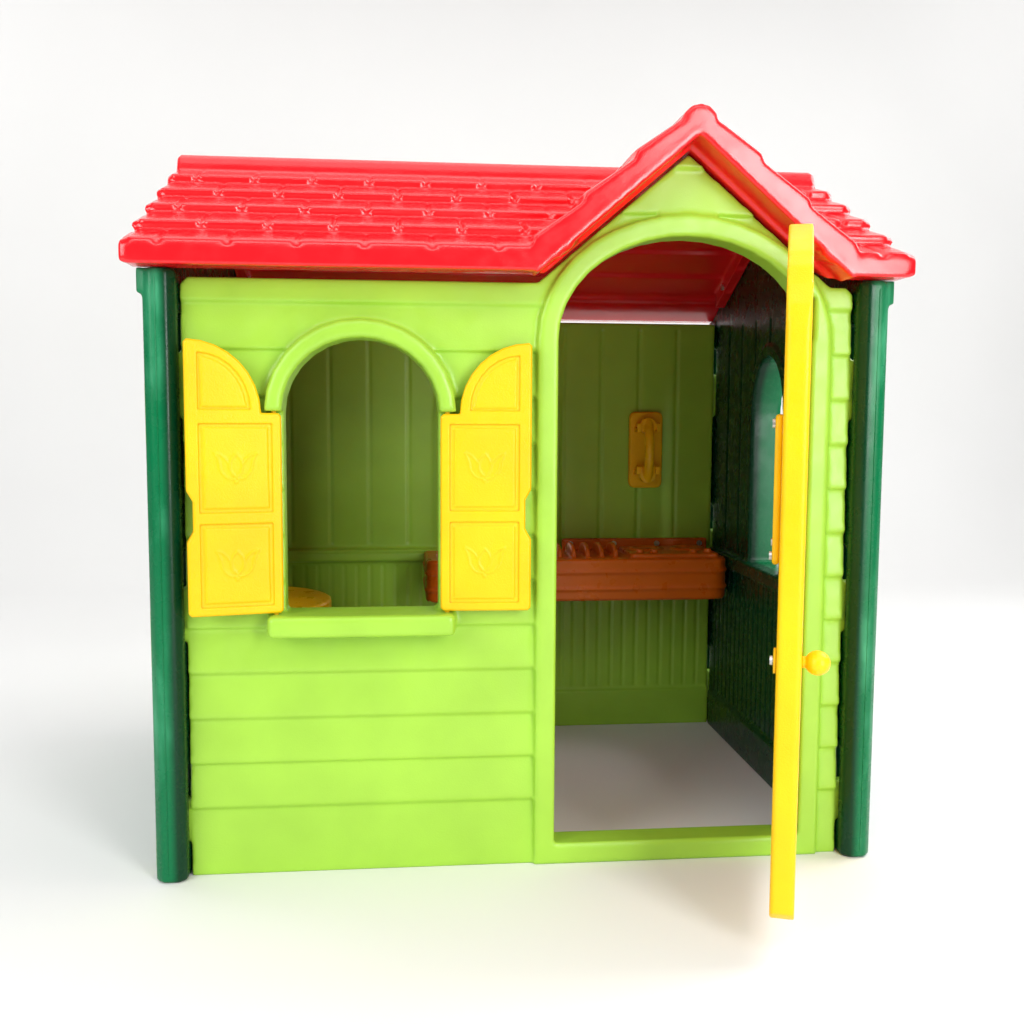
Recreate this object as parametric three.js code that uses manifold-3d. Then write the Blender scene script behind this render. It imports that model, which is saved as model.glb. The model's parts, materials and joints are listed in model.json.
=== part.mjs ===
// Child's moulded plastic playhouse: four interlocking walls, a two-piece shingled roof with a front
// gable, an arched door, a pair of window shutters, a play kitchen, a toy telephone and a drop-leaf table.
// Millimetres, +Z up, +X to the viewer's right, +Y from the front wall towards the back wall.
// The house is laid out with Y = 0 on the front wall's outer face and X = 0 midway between the side
// walls. The finished group is then moved in Y, so that the origin lies under the middle of its box.

import * as THREE from "three";
import { mergeVertices } from "three/addons/utils/BufferGeometryUtils.js";
import Module from "manifold-3d";

const wasm = await Module();
wasm.setup();

// ---------------------------------------------------------------- driving dimensions

const GAP = 0.3; // between pieces that touch
const HOUSE_DEPTH = 900; // outer face of the front wall to outer face of the back wall
const MID_Y = HOUSE_DEPTH / 2;

const WALL_HALF = 576; // half the width of the front and back walls
const WALL_T = 50; // thickness of the front and back walls
const WALL_TOP = 1020;
const GABLE_X = 277; // centre of the doorway and of the front gable
const GABLE_WALL_TOP = 1240;
const GABLE_TAN = 0.854; // slope of the gable's soffit

const FIRST_COURSE = 119; // height of the lowest lap of siding
const COURSE = 78.5; // height of every other lap
const LAP = 7; // how far each lap stands over the one above it

const POST = { inner: 578, outer: 631, front: -32, depth: 84, chamfer: 13 };
const PANEL = { inner: 582, outer: 622 }; // side wall between its two corner posts
const SIDE_TOP = 1030.5;
const RIM = { outer: 640, bottom: 990 };
const SIDE_WINDOW = { half: 100, frame: 26, frameOuter: 646, sillOuter: 649 };

const DOORWAY = { half: 223, bottom: 38, spring: 925, rise: 176 };
const DOOR_TRIM = { half: 259, rise: 213, front: -10 };
const WINDOW = { half: 130, bottom: 459, spring: 797, rise: 125 };
const WINDOW_TRIM = { half: 159, rise: 154 };
const FRONT_WINDOW_X = -280;
const BACK_WINDOW_X = 28;
const SILL = { half: 157, bottom: 422, top: 459 };

const TAB_NECK_HALF = 15; // half the thickness of an interlocking tab
const TAB_INSET = 23; // from a wall's outer face to the middle of its tabs
const TABS = [
  { neck: [60, 130], hook: [5, 75] },
  { neck: [410, 500], hook: [355, 470] },
  { neck: [790, 895], hook: [735, 855] },
];
const TAB_LIFT = 65; // free height over each tab, used to hook the walls together
const HOOK = { inner: 632, outer: 638 };

const ROOF_HALF = 650;
const EAVE_Y = -70;
const EAVE_BOTTOM = 1031.5;
const EAVE_TOP = 1067;
const ROOF_TAN = 0.4663; // slope of the main roof, 25 degrees
const SOFFIT_END_Y = -10; // the flat eave ends here and the sloping underside begins
const SHINGLE_ROWS = 5;
const SHINGLE_ROW = 92; // row pitch, measured level
const SHINGLE_STEP = 17; // height of a row's butt edge
const SHINGLES_ACROSS = 12;
const ROW_FLARE = [6, 4.5, 3, 1.5]; // how far each row's ends stand out, from the eave upwards
const RIDGE_TOP = 1309;

const GABLE_ROWS = 3;
const GABLE_ROW = 84;
const GABLE_STEP = 14;
const GABLE_CAP_R = 31;
const GABLE_ROW_START = 23; // from the gable's middle plane to where the first row would begin
const GABLE_TOP = 1306;
const GABLE_OUTER_TAN = 0.842;
const GABLE_BUTT_LINE = 1318; // where the butt line would meet the gable's middle plane
const SOFFIT_APEX = 1246; // underside of the gable, and of the main ridge

const DOOR = { axisX: 478, t: 36, bottom: 60, top: 1093, free: 59, open: 70 };
const DOOR_AXIS_Y = DOOR_TRIM.front + DOOR.t / 2;
const DOOR_WINDOW = { half: 78, bottom: 600, top: 770 };
const DOOR_FRAME = { half: 104, bottom: 570, top: 800, proud: 11 };
const KNOB = { reach: 385, z: 442, r: 18.5, shank: 6 };
const DOOR_PIN_R = 7;

const SHUTTER = { t: 25, bottom: 462, step: 797, top: 916, hingeEdge: -11.5, stepAt: 21, free: 142.5 };
const SHUTTER_AXIS_Y = -15.5;
const SHUTTER_AXIS_OFFSET = 144; // hinge axis from the window's middle
const SHUTTER_OPEN_LEFT = 168;
const SHUTTER_OPEN_RIGHT = 178;
const SHUTTER_PIN_R = 4;

const RAIL = { bottom: 428, top: 459, proud: 14 };
const BASEBOARD = { top: 90, proud: 9 };

const COUNTER = { x0: -155, x1: 566, y0: 645, y1: 837.5, bottom: 356, top: 455, skin: 8 };
const DISH_RIBS = { x: 122, count: 6, pitch: 34, t: 11, middle: 735, half: 55, rise: 24 };
const SINK = { x0: -125, x1: 85, y0: 685, y1: 800, depth: 70 };
const FAUCET = { x: -20, y: 816, r: 8, height: 105, reach: 78 };

const TABLE = { axisX: -548, z: 390, r: 188, t: 30 };
const TABLE_EAR_T = 16;
const TABLE_PIN_R = 6;

const PHONE = { x: 400, bottom: 610, top: 800 };

const SCREW = { headR: 7, headT: 4, shankR: 3 };

// ---------------------------------------------------------------- materials

function plastic(colour, roughness = 0.42) {
  return new THREE.MeshStandardMaterial({ color: colour, roughness, metalness: 0 });
}

const MATERIALS = {
  limeGreen: () => plastic(0x9fdc4e),
  darkGreen: () => plastic(0x0b7a4b, 0.38),
  red: () => plastic(0xe0263a, 0.35),
  yellow: () => plastic(0xffd819),
  orange: () => plastic(0xf07d14),
  steel: () => new THREE.MeshStandardMaterial({ color: 0xb8bcc0, roughness: 0.35, metalness: 1 }),
};

// ---------------------------------------------------------------- solids

function toSolid(geometry) {
  geometry.deleteAttribute("normal");
  geometry.deleteAttribute("uv");
  const merged = mergeVertices(geometry, 1e-3);
  return new wasm.Manifold(
    new wasm.Mesh({
      numProp: 3,
      vertProperties: new Float32Array(merged.attributes.position.array),
      triVerts: new Uint32Array(merged.index.array),
    }),
  );
}

function join(...solids) {
  return solids.reduce((all, solid) => all.add(solid));
}

function cut(base, ...tools) {
  return tools.reduce((left, tool) => left.subtract(tool), base);
}

function box([xa, xb], [ya, yb], [za, zb]) {
  const geometry = new THREE.BoxGeometry(Math.abs(xb - xa), Math.abs(yb - ya), Math.abs(zb - za));
  return toSolid(geometry.translate((xa + xb) / 2, (ya + yb) / 2, (za + zb) / 2));
}

// Turns a geometry made along local Z so that local Z runs along the named axis. A shape's two
// coordinates are then X and Y for "z", X and Z for "y", and Y and Z for "x".
function pointAlong(geometry, axis) {
  if (axis === "y") {
    return geometry.rotateX(Math.PI / 2);
  }
  if (axis === "x") {
    const [x, y, z] = [0, 1, 2].map((i) => new THREE.Vector3().setComponent(i, 1));
    return geometry.applyMatrix4(new THREE.Matrix4().makeBasis(y, z, x));
  }
  return geometry;
}

function extrude(shape, axis, [a, b], bevel = 0) {
  const [low, high] = a < b ? [a, b] : [b, a];
  const geometry = new THREE.ExtrudeGeometry(shape, {
    depth: high - low - 2 * bevel,
    bevelEnabled: bevel > 0,
    bevelThickness: bevel,
    bevelSize: bevel,
    bevelOffset: -bevel,
    bevelSegments: 1,
  });
  const start = axis === "y" ? -high : low;
  return toSolid(pointAlong(geometry.translate(0, 0, start + bevel), axis));
}

function polygon(points) {
  return new THREE.Shape(points.map(([u, v]) => new THREE.Vector2(u, v)));
}

// Points of an ellipse's arc about (u, v), from one angle to another in degrees, both ends included.
function arc([u, v], [ru, rv], [from, to], steps) {
  return Array.from({ length: steps + 1 }, (_, i) => {
    const angle = THREE.MathUtils.degToRad(from + ((to - from) * i) / steps);
    return [u + ru * Math.cos(angle), v + rv * Math.sin(angle)];
  });
}

function rod(radius, axis, span, centre, sides = 12) {
  const half = 180 / sides;
  return extrude(polygon(arc(centre, [radius, radius], [half, 360 - half], sides - 1)), axis, span);
}

function rectangle([u0, u1], [v0, v1], corner = 0) {
  if (corner === 0) {
    return polygon([[u0, v0], [u1, v0], [u1, v1], [u0, v1]]);
  }
  const r = [corner, corner];
  const steps = corner < 10 ? 1 : 3;
  return polygon([
    ...arc([u1 - corner, v0 + corner], r, [-90, 0], steps),
    ...arc([u1 - corner, v1 - corner], r, [0, 90], steps),
    ...arc([u0 + corner, v1 - corner], r, [90, 180], steps),
    ...arc([u0 + corner, v0 + corner], r, [180, 270], steps),
  ]);
}

// An opening with straight sides and a half-ellipse head.
function arch(middle, half, bottom, spring, rise, steps = 14) {
  const head = arc([middle, spring], [half, rise], [0, 180], steps);
  return polygon([[middle - half, bottom], [middle + half, bottom], ...head]);
}

// The raised half-ring over a window's head.
function archBand(middle, spring, outer, inner) {
  const outside = arc([middle, spring], [outer.half, outer.rise], [0, 180], 14);
  const inside = arc([middle, spring], [inner.half, inner.rise], [180, 0], 14);
  return polygon([...outside, ...inside]);
}

function meshOf(name, solid, material) {
  const { vertProperties, triVerts } = solid.getMesh();
  const geometry = new THREE.BufferGeometry();
  geometry.setAttribute("position", new THREE.BufferAttribute(new Float32Array(vertProperties), 3));
  geometry.setIndex(new THREE.BufferAttribute(new Uint32Array(triVerts), 1));
  geometry.computeVertexNormals();
  const mesh = new THREE.Mesh(geometry, material());
  mesh.name = name;
  return mesh;
}

// ---------------------------------------------------------------- shared wall details

// Section of lap siding. Each lap is proud at its lower edge and leans in towards its upper one.
function siding(inner, outer, top) {
  const inward = Math.sign(inner - outer) * LAP;
  const points = [[inner, 0], [outer, 0]];
  for (let z = FIRST_COURSE; z < top; z += COURSE) {
    points.push([outer + inward, z], [outer, z]);
  }
  points.push([outer + inward, top], [inner, top]);
  return polygon(points);
}

// Tabs at both ends of a front or back wall. Each has a neck that goes through a slot in the corner
// post and a hook that hangs down outside it.
function wallTabs(tabY) {
  const pieces = [];
  for (const side of [-1, 1]) {
    for (const { neck, hook } of TABS) {
      const across = [tabY - TAB_NECK_HALF, tabY + TAB_NECK_HALF];
      pieces.push(box([side * (WALL_HALF - 6), side * (HOOK.inner + 2)], across, neck));
      pieces.push(extrude(rectangle(across, hook, 4), "x", [side * HOOK.inner, side * HOOK.outer]));
    }
  }
  return join(...pieces);
}

function postSlots(side, tabY) {
  const across = [tabY - TAB_NECK_HALF - 3, tabY + TAB_NECK_HALF + 3];
  const through = [side * (POST.inner - 10), side * (POST.outer + 10)];
  return TABS.map(({ neck }) => box(through, across, [neck[0] - GAP, neck[1] + TAB_LIFT]));
}

// Shallow vertical grooves that divide a wall's inner face into planks above the chair rail.
function plankGrooves(from, to, count, cutGroove) {
  const pitch = (to - from) / count;
  return Array.from({ length: count - 1 }, (_, i) => cutGroove(from + pitch * (i + 1)));
}

// ---------------------------------------------------------------- front wall

function frontWallOutline() {
  const gableHalf = (GABLE_WALL_TOP - WALL_TOP) / GABLE_TAN;
  return polygon([
    [-WALL_HALF, 0],
    [WALL_HALF, 0],
    [WALL_HALF, WALL_TOP - 12],
    [WALL_HALF - 12, WALL_TOP],
    [GABLE_X + gableHalf, WALL_TOP],
    [GABLE_X, GABLE_WALL_TOP],
    [GABLE_X - gableHalf, WALL_TOP],
    [12 - WALL_HALF, WALL_TOP],
    [-WALL_HALF, WALL_TOP - 12],
  ]);
}

function frontWindowTrim() {
  const band = archBand(FRONT_WINDOW_X, WINDOW.spring + 3, WINDOW_TRIM, {
    half: WINDOW.half,
    rise: WINDOW.rise - 3,
  });
  const sillX = [FRONT_WINDOW_X - SILL.half, FRONT_WINDOW_X + SILL.half];
  const sill = extrude(rectangle(sillX, [-50, 12], 6), "z", [SILL.bottom, SILL.top], 5);
  return join(extrude(band, "y", [-35, 12], 6), sill);
}

// Holes for the shutters' pins, in the feet of the window's arch and in its sill.
function shutterPinHoles() {
  const holes = [];
  for (const side of [-1, 1]) {
    const at = [FRONT_WINDOW_X + side * SHUTTER_AXIS_OFFSET, SHUTTER_AXIS_Y];
    holes.push(rod(SHUTTER_PIN_R + GAP, "z", [WINDOW.spring - 5, WINDOW.spring + 18], at));
    holes.push(rod(SHUTTER_PIN_R + GAP, "z", [SILL.top - 15, SILL.top + 5], at));
  }
  return holes;
}

function doorway() {
  const head = arch(GABLE_X, DOORWAY.half, DOORWAY.bottom, DOORWAY.spring, DOORWAY.rise, 18);
  return extrude(head, "y", [-40, WALL_T + 20]);
}

// Rebate in the trim that lets the door's hinge corner turn under the arch.
function hingeRebate() {
  return box([DOOR.axisX - 14, DOOR.axisX + 24.5], [-30, 29], [DOORWAY.spring, 1004]);
}

function doorPinHoles() {
  const at = [DOOR.axisX, DOOR_AXIS_Y];
  return [
    rod(DOOR_PIN_R + GAP, "z", [DOORWAY.bottom - 22, DOORWAY.bottom + 5], at, 16),
    rod(DOOR_PIN_R + GAP, "z", [1000, 1036], at, 16),
  ];
}

function frontWall() {
  const laps = extrude(siding(WALL_T, 0, GABLE_WALL_TOP + 5), "x", [-WALL_HALF, WALL_HALF]);
  const body = laps.intersect(extrude(frontWallOutline(), "y", [-5, WALL_T]));
  const trim = arch(GABLE_X, DOOR_TRIM.half, 0, DOORWAY.spring, DOOR_TRIM.rise, 18);
  const doorTrim = extrude(trim, "y", [DOOR_TRIM.front, WALL_T], 3);
  const window = arch(FRONT_WINDOW_X, WINDOW.half, WINDOW.bottom, WINDOW.spring, WINDOW.rise);
  return cut(
    join(body, doorTrim, frontWindowTrim(), wallTabs(TAB_INSET)),
    extrude(window, "y", [-60, WALL_T + 10]),
    doorway(),
    hingeRebate(),
    ...shutterPinHoles(),
    ...doorPinHoles(),
  );
}

// ---------------------------------------------------------------- back wall

const BACK_INNER = HOUSE_DEPTH - WALL_T;

function screwHoles(places, along) {
  return places.map((place) => along(place, SCREW.shankR + GAP));
}

const COUNTER_SCREWS_X = [210, 320, 430, 540];
const COUNTER_FLANGE = { x: [190, 560], front: 829, top: 482, screwZ: 470 }; // beside the back window
const CRADLE_SCREWS_Z = [PHONE.bottom + 25, PHONE.top - 25];

function backWallScrewHoles() {
  const depth = [BACK_INNER - 5, BACK_INNER + 28];
  const counter = screwHoles(COUNTER_SCREWS_X, (x, r) => rod(r, "y", depth, [x, COUNTER_FLANGE.screwZ], 8));
  const cradle = screwHoles(CRADLE_SCREWS_Z, (z, r) => rod(r, "y", depth, [PHONE.x, z], 8));
  return [...counter, ...cradle];
}

function backWall() {
  const outline = polygon([
    [-WALL_HALF, 0],
    [WALL_HALF, 0],
    [WALL_HALF, WALL_TOP],
    [-WALL_HALF, WALL_TOP],
  ]);
  const laps = extrude(siding(BACK_INNER, HOUSE_DEPTH, WALL_TOP), "x", [-WALL_HALF, WALL_HALF]);
  const body = laps.intersect(extrude(outline, "y", [BACK_INNER, HOUSE_DEPTH + 5]));
  const band = archBand(BACK_WINDOW_X, WINDOW.spring, WINDOW_TRIM, WINDOW);
  const outerBand = extrude(band, "y", [HOUSE_DEPTH - 12, HOUSE_DEPTH + 14], 4);
  const sillX = [BACK_WINDOW_X - SILL.half, BACK_WINDOW_X + SILL.half];
  const sill = extrude(rectangle(sillX, [HOUSE_DEPTH - 12, HOUSE_DEPTH + 25], 6), "z", [
    SILL.bottom,
    SILL.top,
  ]);
  const surroundFoot = RAIL.top - 2;
  const surround = arch(BACK_WINDOW_X, WINDOW.half + 25, surroundFoot, WINDOW.spring, WINDOW.rise + 25);
  const innerBand = extrude(surround, "y", [BACK_INNER - 5, BACK_INNER + 5]);
  const across = [-WALL_HALF, WALL_HALF];
  const rail = box(across, [BACK_INNER - 12, BACK_INNER + 5], [RAIL.bottom, RAIL.top]);
  const base = box(across, [BACK_INNER - BASEBOARD.proud, BACK_INNER + 5], [0, BASEBOARD.top]);
  const grooveY = [BACK_INNER - 4, BACK_INNER + 3];
  const groove = (x) => box([x - 2.5, x + 2.5], grooveY, [RAIL.top + 3, WALL_TOP - 20]);
  const grooved = cut(body, ...plankGrooves(-WALL_HALF, WALL_HALF, 12, groove));
  const window = arch(BACK_WINDOW_X, WINDOW.half, WINDOW.bottom, WINDOW.spring, WINDOW.rise);
  return cut(
    join(grooved, outerBand, sill, innerBand, rail, base, wallTabs(HOUSE_DEPTH - TAB_INSET)),
    extrude(window, "y", [BACK_INNER - 30, HOUSE_DEPTH + 40]),
    ...backWallScrewHoles(),
  );
}

// ---------------------------------------------------------------- side walls

function sideGableOutline(inset = 0) {
  const low = POST.front + inset;
  const high = HOUSE_DEPTH - low;
  const ridge = SIDE_TOP + (MID_Y - SOFFIT_END_Y) * ROOF_TAN - 1;
  return polygon([
    [low, 0],
    [high, 0],
    [high, SIDE_TOP],
    [HOUSE_DEPTH - SOFFIT_END_Y, SIDE_TOP],
    [MID_Y, ridge],
    [SOFFIT_END_Y, SIDE_TOP],
    [low, SIDE_TOP],
  ]);
}

function cornerPost(side, front) {
  const { inner, outer, depth, chamfer: c } = POST;
  const back = front + depth;
  const plan = [
    [inner, front + c],
    [inner + c, front],
    [outer - c, front],
    [outer, front + c],
    [outer, back - c],
    [outer - c, back],
    [inner + c, back],
    [inner, back - c],
  ];
  return extrude(polygon(plan.map(([x, y]) => [side * x, y])), "z", [0, SIDE_TOP], 4);
}

function sideInnerDetail(side) {
  const along = [POST.front + POST.depth + 4, BACK_INNER - 14];
  const rail = box([side * (PANEL.inner - RAIL.proud), side * (PANEL.inner + 5)], along, [
    RAIL.bottom,
    RAIL.top,
  ]);
  const base = box([side * (PANEL.inner - BASEBOARD.proud), side * (PANEL.inner + 5)], along, [
    0,
    BASEBOARD.top,
  ]);
  const reach = SIDE_WINDOW.half + 25;
  const surround = arch(MID_Y, reach, RAIL.top - 2, WINDOW.spring, WINDOW.rise + 25);
  const band = extrude(surround, "x", [side * (PANEL.inner - 5), side * (PANEL.inner + 5)]);
  return join(rail, base, band);
}

function sideOuterDetail(side) {
  const { half, frame, frameOuter, sillOuter } = SIDE_WINDOW;
  const casing = arch(MID_Y, half + frame, SILL.top - 4, WINDOW.spring, WINDOW.rise + frame);
  const head = extrude(casing, "x", [side * (PANEL.outer - 12), side * frameOuter], 3);
  const sillHalf = half + frame + 8;
  const sillX = [side * (PANEL.outer - 12), side * sillOuter];
  const sill = box(sillX, [MID_Y - sillHalf, MID_Y + sillHalf], [SILL.bottom, SILL.top]);
  const rimY = [POST.front + 10, HOUSE_DEPTH - POST.front - 10];
  const rim = box([side * (PANEL.outer - 12), side * RIM.outer], rimY, [RIM.bottom, SIDE_TOP]);
  return join(head, sill, rim);
}

const ROOF_SCREWS_Y = [170, 340];
const ROOF_RIB = { x0: 558, x1: 581, y0: 110, y1: 410, drop: 34 };

function soffitZ(y) {
  const toEave = y > MID_Y ? HOUSE_DEPTH - y : y;
  return EAVE_BOTTOM + (toEave - SOFFIT_END_Y) * ROOF_TAN;
}

function roofScrewPlaces() {
  return ROOF_SCREWS_Y.flatMap((y) => [y, HOUSE_DEPTH - y]).map((y) => [y, soffitZ(y) - ROOF_RIB.drop / 2]);
}

function sideWall(side) {
  const sidingAlong = [POST.front + 20, HOUSE_DEPTH - POST.front - 20];
  const laps = extrude(siding(side * PANEL.inner, side * PANEL.outer, 1300), "y", sidingAlong);
  const panel = laps.intersect(extrude(sideGableOutline(), "x", [side * 570, side * 640]));
  const grooveX = [side * (PANEL.inner - 3), side * (PANEL.inner + 3)];
  const groove = (y) => box(grooveX, [y - 2.5, y + 2.5], [RAIL.top + 3, SIDE_TOP - 10]);
  const grooved = cut(panel, ...plankGrooves(60, HOUSE_DEPTH - 60, 8, groove));
  const posts = [POST.front, HOUSE_DEPTH - POST.front - POST.depth].map((y) => cornerPost(side, y));
  const window = arch(MID_Y, SIDE_WINDOW.half, WINDOW.bottom, WINDOW.spring, WINDOW.rise);
  const screws = roofScrewPlaces().map((at) =>
    rod(SCREW.shankR + GAP, "x", [side * 575, side * 610], at, 8),
  );
  return cut(
    join(grooved, ...posts, sideInnerDetail(side), sideOuterDetail(side)),
    extrude(window, "x", [side * 560, side * 660]),
    ...postSlots(side, TAB_INSET),
    ...postSlots(side, HOUSE_DEPTH - TAB_INSET),
    ...screws,
  );
}

// Ears that carry the table's pins, and the gussets that it rests on when it is down.
function tableEarsY() {
  const reach = TABLE.r + 4;
  return [
    [MID_Y - reach - TABLE_EAR_T, MID_Y - reach],
    [MID_Y + reach, MID_Y + reach + TABLE_EAR_T],
  ];
}

function leftWall() {
  const wallFace = -PANEL.inner - 4;
  const under = TABLE.z - TABLE.t / 2;
  const ears = tableEarsY().map((y) => box([wallFace, TABLE.axisX + 18], y, [under - 4, under + 34]));
  const gussets = [MID_Y - 70, MID_Y + 70].map((y) => {
    const triangle = polygon([[wallFace, under - 100], [TABLE.axisX + 110, under - 12],
      [TABLE.axisX + 110, under - GAP], [wallFace, under - GAP]]);
    return extrude(triangle, "y", [y - 8, y + 8]);
  });
  const holes = tableEarsY().map(([a, b]) =>
    rod(TABLE_PIN_R + GAP, "y", [a - 2, b + 2], [TABLE.axisX, TABLE.z]),
  );
  return cut(join(sideWall(-1), ...ears, ...gussets), ...holes);
}

// ---------------------------------------------------------------- roof

function buttLine(y) {
  return EAVE_TOP + (y - EAVE_Y) * ROOF_TAN;
}

function rowY(k) {
  return EAVE_Y + SHINGLE_ROW * k;
}

// Section of one half of the main roof, from the eave to the ridge.
function slopeSection(toY) {
  const points = [[EAVE_Y + 5, EAVE_BOTTOM], [EAVE_Y, EAVE_BOTTOM + 6], [EAVE_Y, EAVE_TOP - 6]];
  points.push([EAVE_Y + 5, EAVE_TOP]);
  for (let k = 1; k <= SHINGLE_ROWS; k += 1) {
    points.push([rowY(k) - 4, buttLine(rowY(k)) - SHINGLE_STEP]);
    points.push([rowY(k) + 4, buttLine(rowY(k)) + 2]);
  }
  const ridgeStart = rowY(SHINGLE_ROWS) + 4;
  const ridgeHalf = MID_Y - ridgeStart;
  const ridgeRise = RIDGE_TOP - buttLine(ridgeStart) - 2;
  for (const angle of [30, 60]) {
    const turn = THREE.MathUtils.degToRad(angle);
    const z = buttLine(ridgeStart) + 2 + ridgeRise * Math.sin(turn);
    points.push([MID_Y - ridgeHalf * Math.cos(turn), z]);
  }
  points.push([MID_Y - GAP, RIDGE_TOP], [MID_Y - GAP, EAVE_BOTTOM]);
  return polygon(points.map(([y, z]) => [toY(y), z]));
}

// Grooves between neighbouring shingles, staggered from row to row.
function shingleGrooves(direction, toY) {
  const pitch = (2 * ROOF_HALF) / SHINGLES_ACROSS;
  const rise = (SHINGLE_ROW * ROOF_TAN - SHINGLE_STEP) / SHINGLE_ROW;
  const length = SHINGLE_ROW + 2;
  const grooves = [];
  for (let k = 0; k < SHINGLE_ROWS; k += 1) {
    const shift = k % 2 === 0 ? pitch / 2 : 0;
    for (let x = shift - ROOF_HALF; x < ROOF_HALF - 10; x += pitch) {
      if (x > -ROOF_HALF + 10) {
        const vee = new THREE.ExtrudeGeometry(polygon([[-5, 3], [0, -6], [5, 3]]), {
          depth: length,
          bevelEnabled: false,
        });
        vee.rotateX(Math.PI / 2).translate(0, direction > 0 ? length - 4 : 4, 0);
        vee.rotateX(direction * Math.atan(rise));
        vee.translate(x, toY(rowY(k) + 2), buttLine(rowY(k)));
        grooves.push(toSolid(vee));
      }
    }
  }
  return grooves;
}

function roofVoid(toY) {
  const far = MID_Y + 5;
  const rise = (far - SOFFIT_END_Y) * ROOF_TAN;
  const below = EAVE_BOTTOM - 100;
  const points = [
    [SOFFIT_END_Y, EAVE_BOTTOM],
    [far, EAVE_BOTTOM + rise],
    [far, below],
    [SOFFIT_END_Y, below],
  ];
  const section = polygon(points.map(([y, z]) => [toY(y), z]));
  return extrude(section, "x", [-ROOF_HALF - 20, ROOF_HALF + 20]);
}

// Ribs on the underside, next to the side walls, that take the roof's screws.
function roofRibs(toY) {
  const { x0, x1, y0, y1, drop } = ROOF_RIB;
  const points = [
    [y0, soffitZ(y0) + 4],
    [y1, soffitZ(y1) + 4],
    [y1, soffitZ(y1) - drop],
    [y0, soffitZ(y0) - drop],
  ];
  const section = polygon(points.map(([y, z]) => [toY(y), z]));
  const holes = ROOF_SCREWS_Y.map((y) =>
    rod(SCREW.shankR + GAP, "x", [-x1 - 5, x1 + 5], [toY(y), soffitZ(y) - drop / 2], 8),
  );
  return [-1, 1].map((side) => cut(extrude(section, "x", [side * x0, side * x1]), ...holes));
}

// The rows' ends swell outwards a little, most of all at the eave.
function rowEnds(toY) {
  return ROW_FLARE.flatMap((flare, k) => {
    const [y0, y1] = [rowY(k), rowY(k + 1) + 2];
    const surface = buttLine(rowY(k + 1)) - SHINGLE_STEP;
    const below = k === 0 ? EAVE_BOTTOM + 1 : surface - 40;
    const section = [[y0 + 1, buttLine(y0) - 4], [y0 + 7, buttLine(y0) + 1], [y1 - 7, surface - 1]];
    section.push([y1, surface - 9], [y1, below + 12], [y0 + 1, below + (k === 0 ? 0 : 4)]);
    const outline = polygon(section.map(([y, z]) => [toY(y), z]));
    return [-1, 1].map((side) =>
      extrude(outline, "x", [side * (ROOF_HALF - 12), side * (ROOF_HALF + flare)], 2),
    );
  });
}

function roofHalf(direction) {
  const toY = direction > 0 ? (y) => y : (y) => HOUSE_DEPTH - y;
  const slope = extrude(slopeSection(toY), "x", [-ROOF_HALF, ROOF_HALF], 4);
  return { shell: join(cut(slope, ...shingleGrooves(direction, toY)), ...rowEnds(toY)), toY };
}

const GABLE_ROW_RISE = (GABLE_ROW * GABLE_OUTER_TAN - GABLE_STEP) / GABLE_ROW;

function gableButtLine(dx) {
  return GABLE_BUTT_LINE - dx * GABLE_OUTER_TAN;
}

function gableRowStart(k) {
  return GABLE_ROW_START + GABLE_ROW * k;
}

// Front outline of the gable: shingle steps on both slopes and a round cap at the top.
function gableSection() {
  const right = [];
  for (let angle = 90; angle >= 0; angle -= 30) {
    const turn = THREE.MathUtils.degToRad(angle);
    right.push([GABLE_CAP_R * Math.cos(turn), GABLE_TOP - GABLE_CAP_R + GABLE_CAP_R * Math.sin(turn)]);
  }
  const underCap = GABLE_CAP_R + 3;
  const firstSurface = gableButtLine(GABLE_ROW_START) - GABLE_STEP;
  right.push([underCap, firstSurface - (underCap - GABLE_ROW_START) * GABLE_ROW_RISE]);
  for (let k = 1; k <= GABLE_ROWS; k += 1) {
    const dx = gableRowStart(k);
    right.push([dx - 2, gableButtLine(dx)], [dx + 3, gableButtLine(dx) - GABLE_STEP]);
  }
  right.push([gableRowStart(GABLE_ROWS) + 3, EAVE_BOTTOM]);
  const left = right.slice(1).reverse().map(([dx, z]) => [-dx, z]);
  return polygon([...left, ...right].map(([dx, z]) => [GABLE_X + dx, z]));
}

function gableGrooves() {
  const grooves = [];
  const tilt = Math.atan(GABLE_ROW_RISE);
  const length = (GABLE_ROW - 6) / Math.cos(tilt);
  for (const side of [-1, 1]) {
    for (let k = 1; k <= GABLE_ROWS; k += 1) {
      for (let y = k % 2 === 0 ? 10 : 60; y < MID_Y; y += 100) {
        const vee = new THREE.ExtrudeGeometry(polygon([[-5, 3], [0, -5], [5, 3]]), {
          depth: length,
          bevelEnabled: false,
        });
        pointAlong(vee.translate(0, 0, side > 0 ? -length + 4 : -4), "x");
        vee.rotateY(side * tilt);
        const dx = gableRowStart(k);
        vee.translate(GABLE_X + side * dx, y, gableButtLine(dx));
        grooves.push(toSolid(vee));
      }
    }
  }
  return grooves;
}

function gableVoid(apex, [y0, y1]) {
  const low = EAVE_BOTTOM - 60;
  const half = (apex - low) / GABLE_TAN;
  const triangle = polygon([[GABLE_X - half, low], [GABLE_X + half, low], [GABLE_X, apex]]);
  return extrude(triangle, "y", [y0, y1]);
}

// Feet of the gable's rake boards, which reach a little below the eaves.
function gableFeet() {
  const outer = gableRowStart(GABLE_ROWS) + 3;
  const inner = outer - 44;
  return [-1, 1].map((side) => {
    const points = [[outer, EAVE_BOTTOM + 8], [outer - 14, 1022], [inner, 1022], [inner, EAVE_BOTTOM + 8]];
    const foot = polygon(points.map(([dx, z]) => [GABLE_X + side * dx, z]));
    return extrude(foot, "y", [EAVE_Y, -12]);
  });
}

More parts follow.
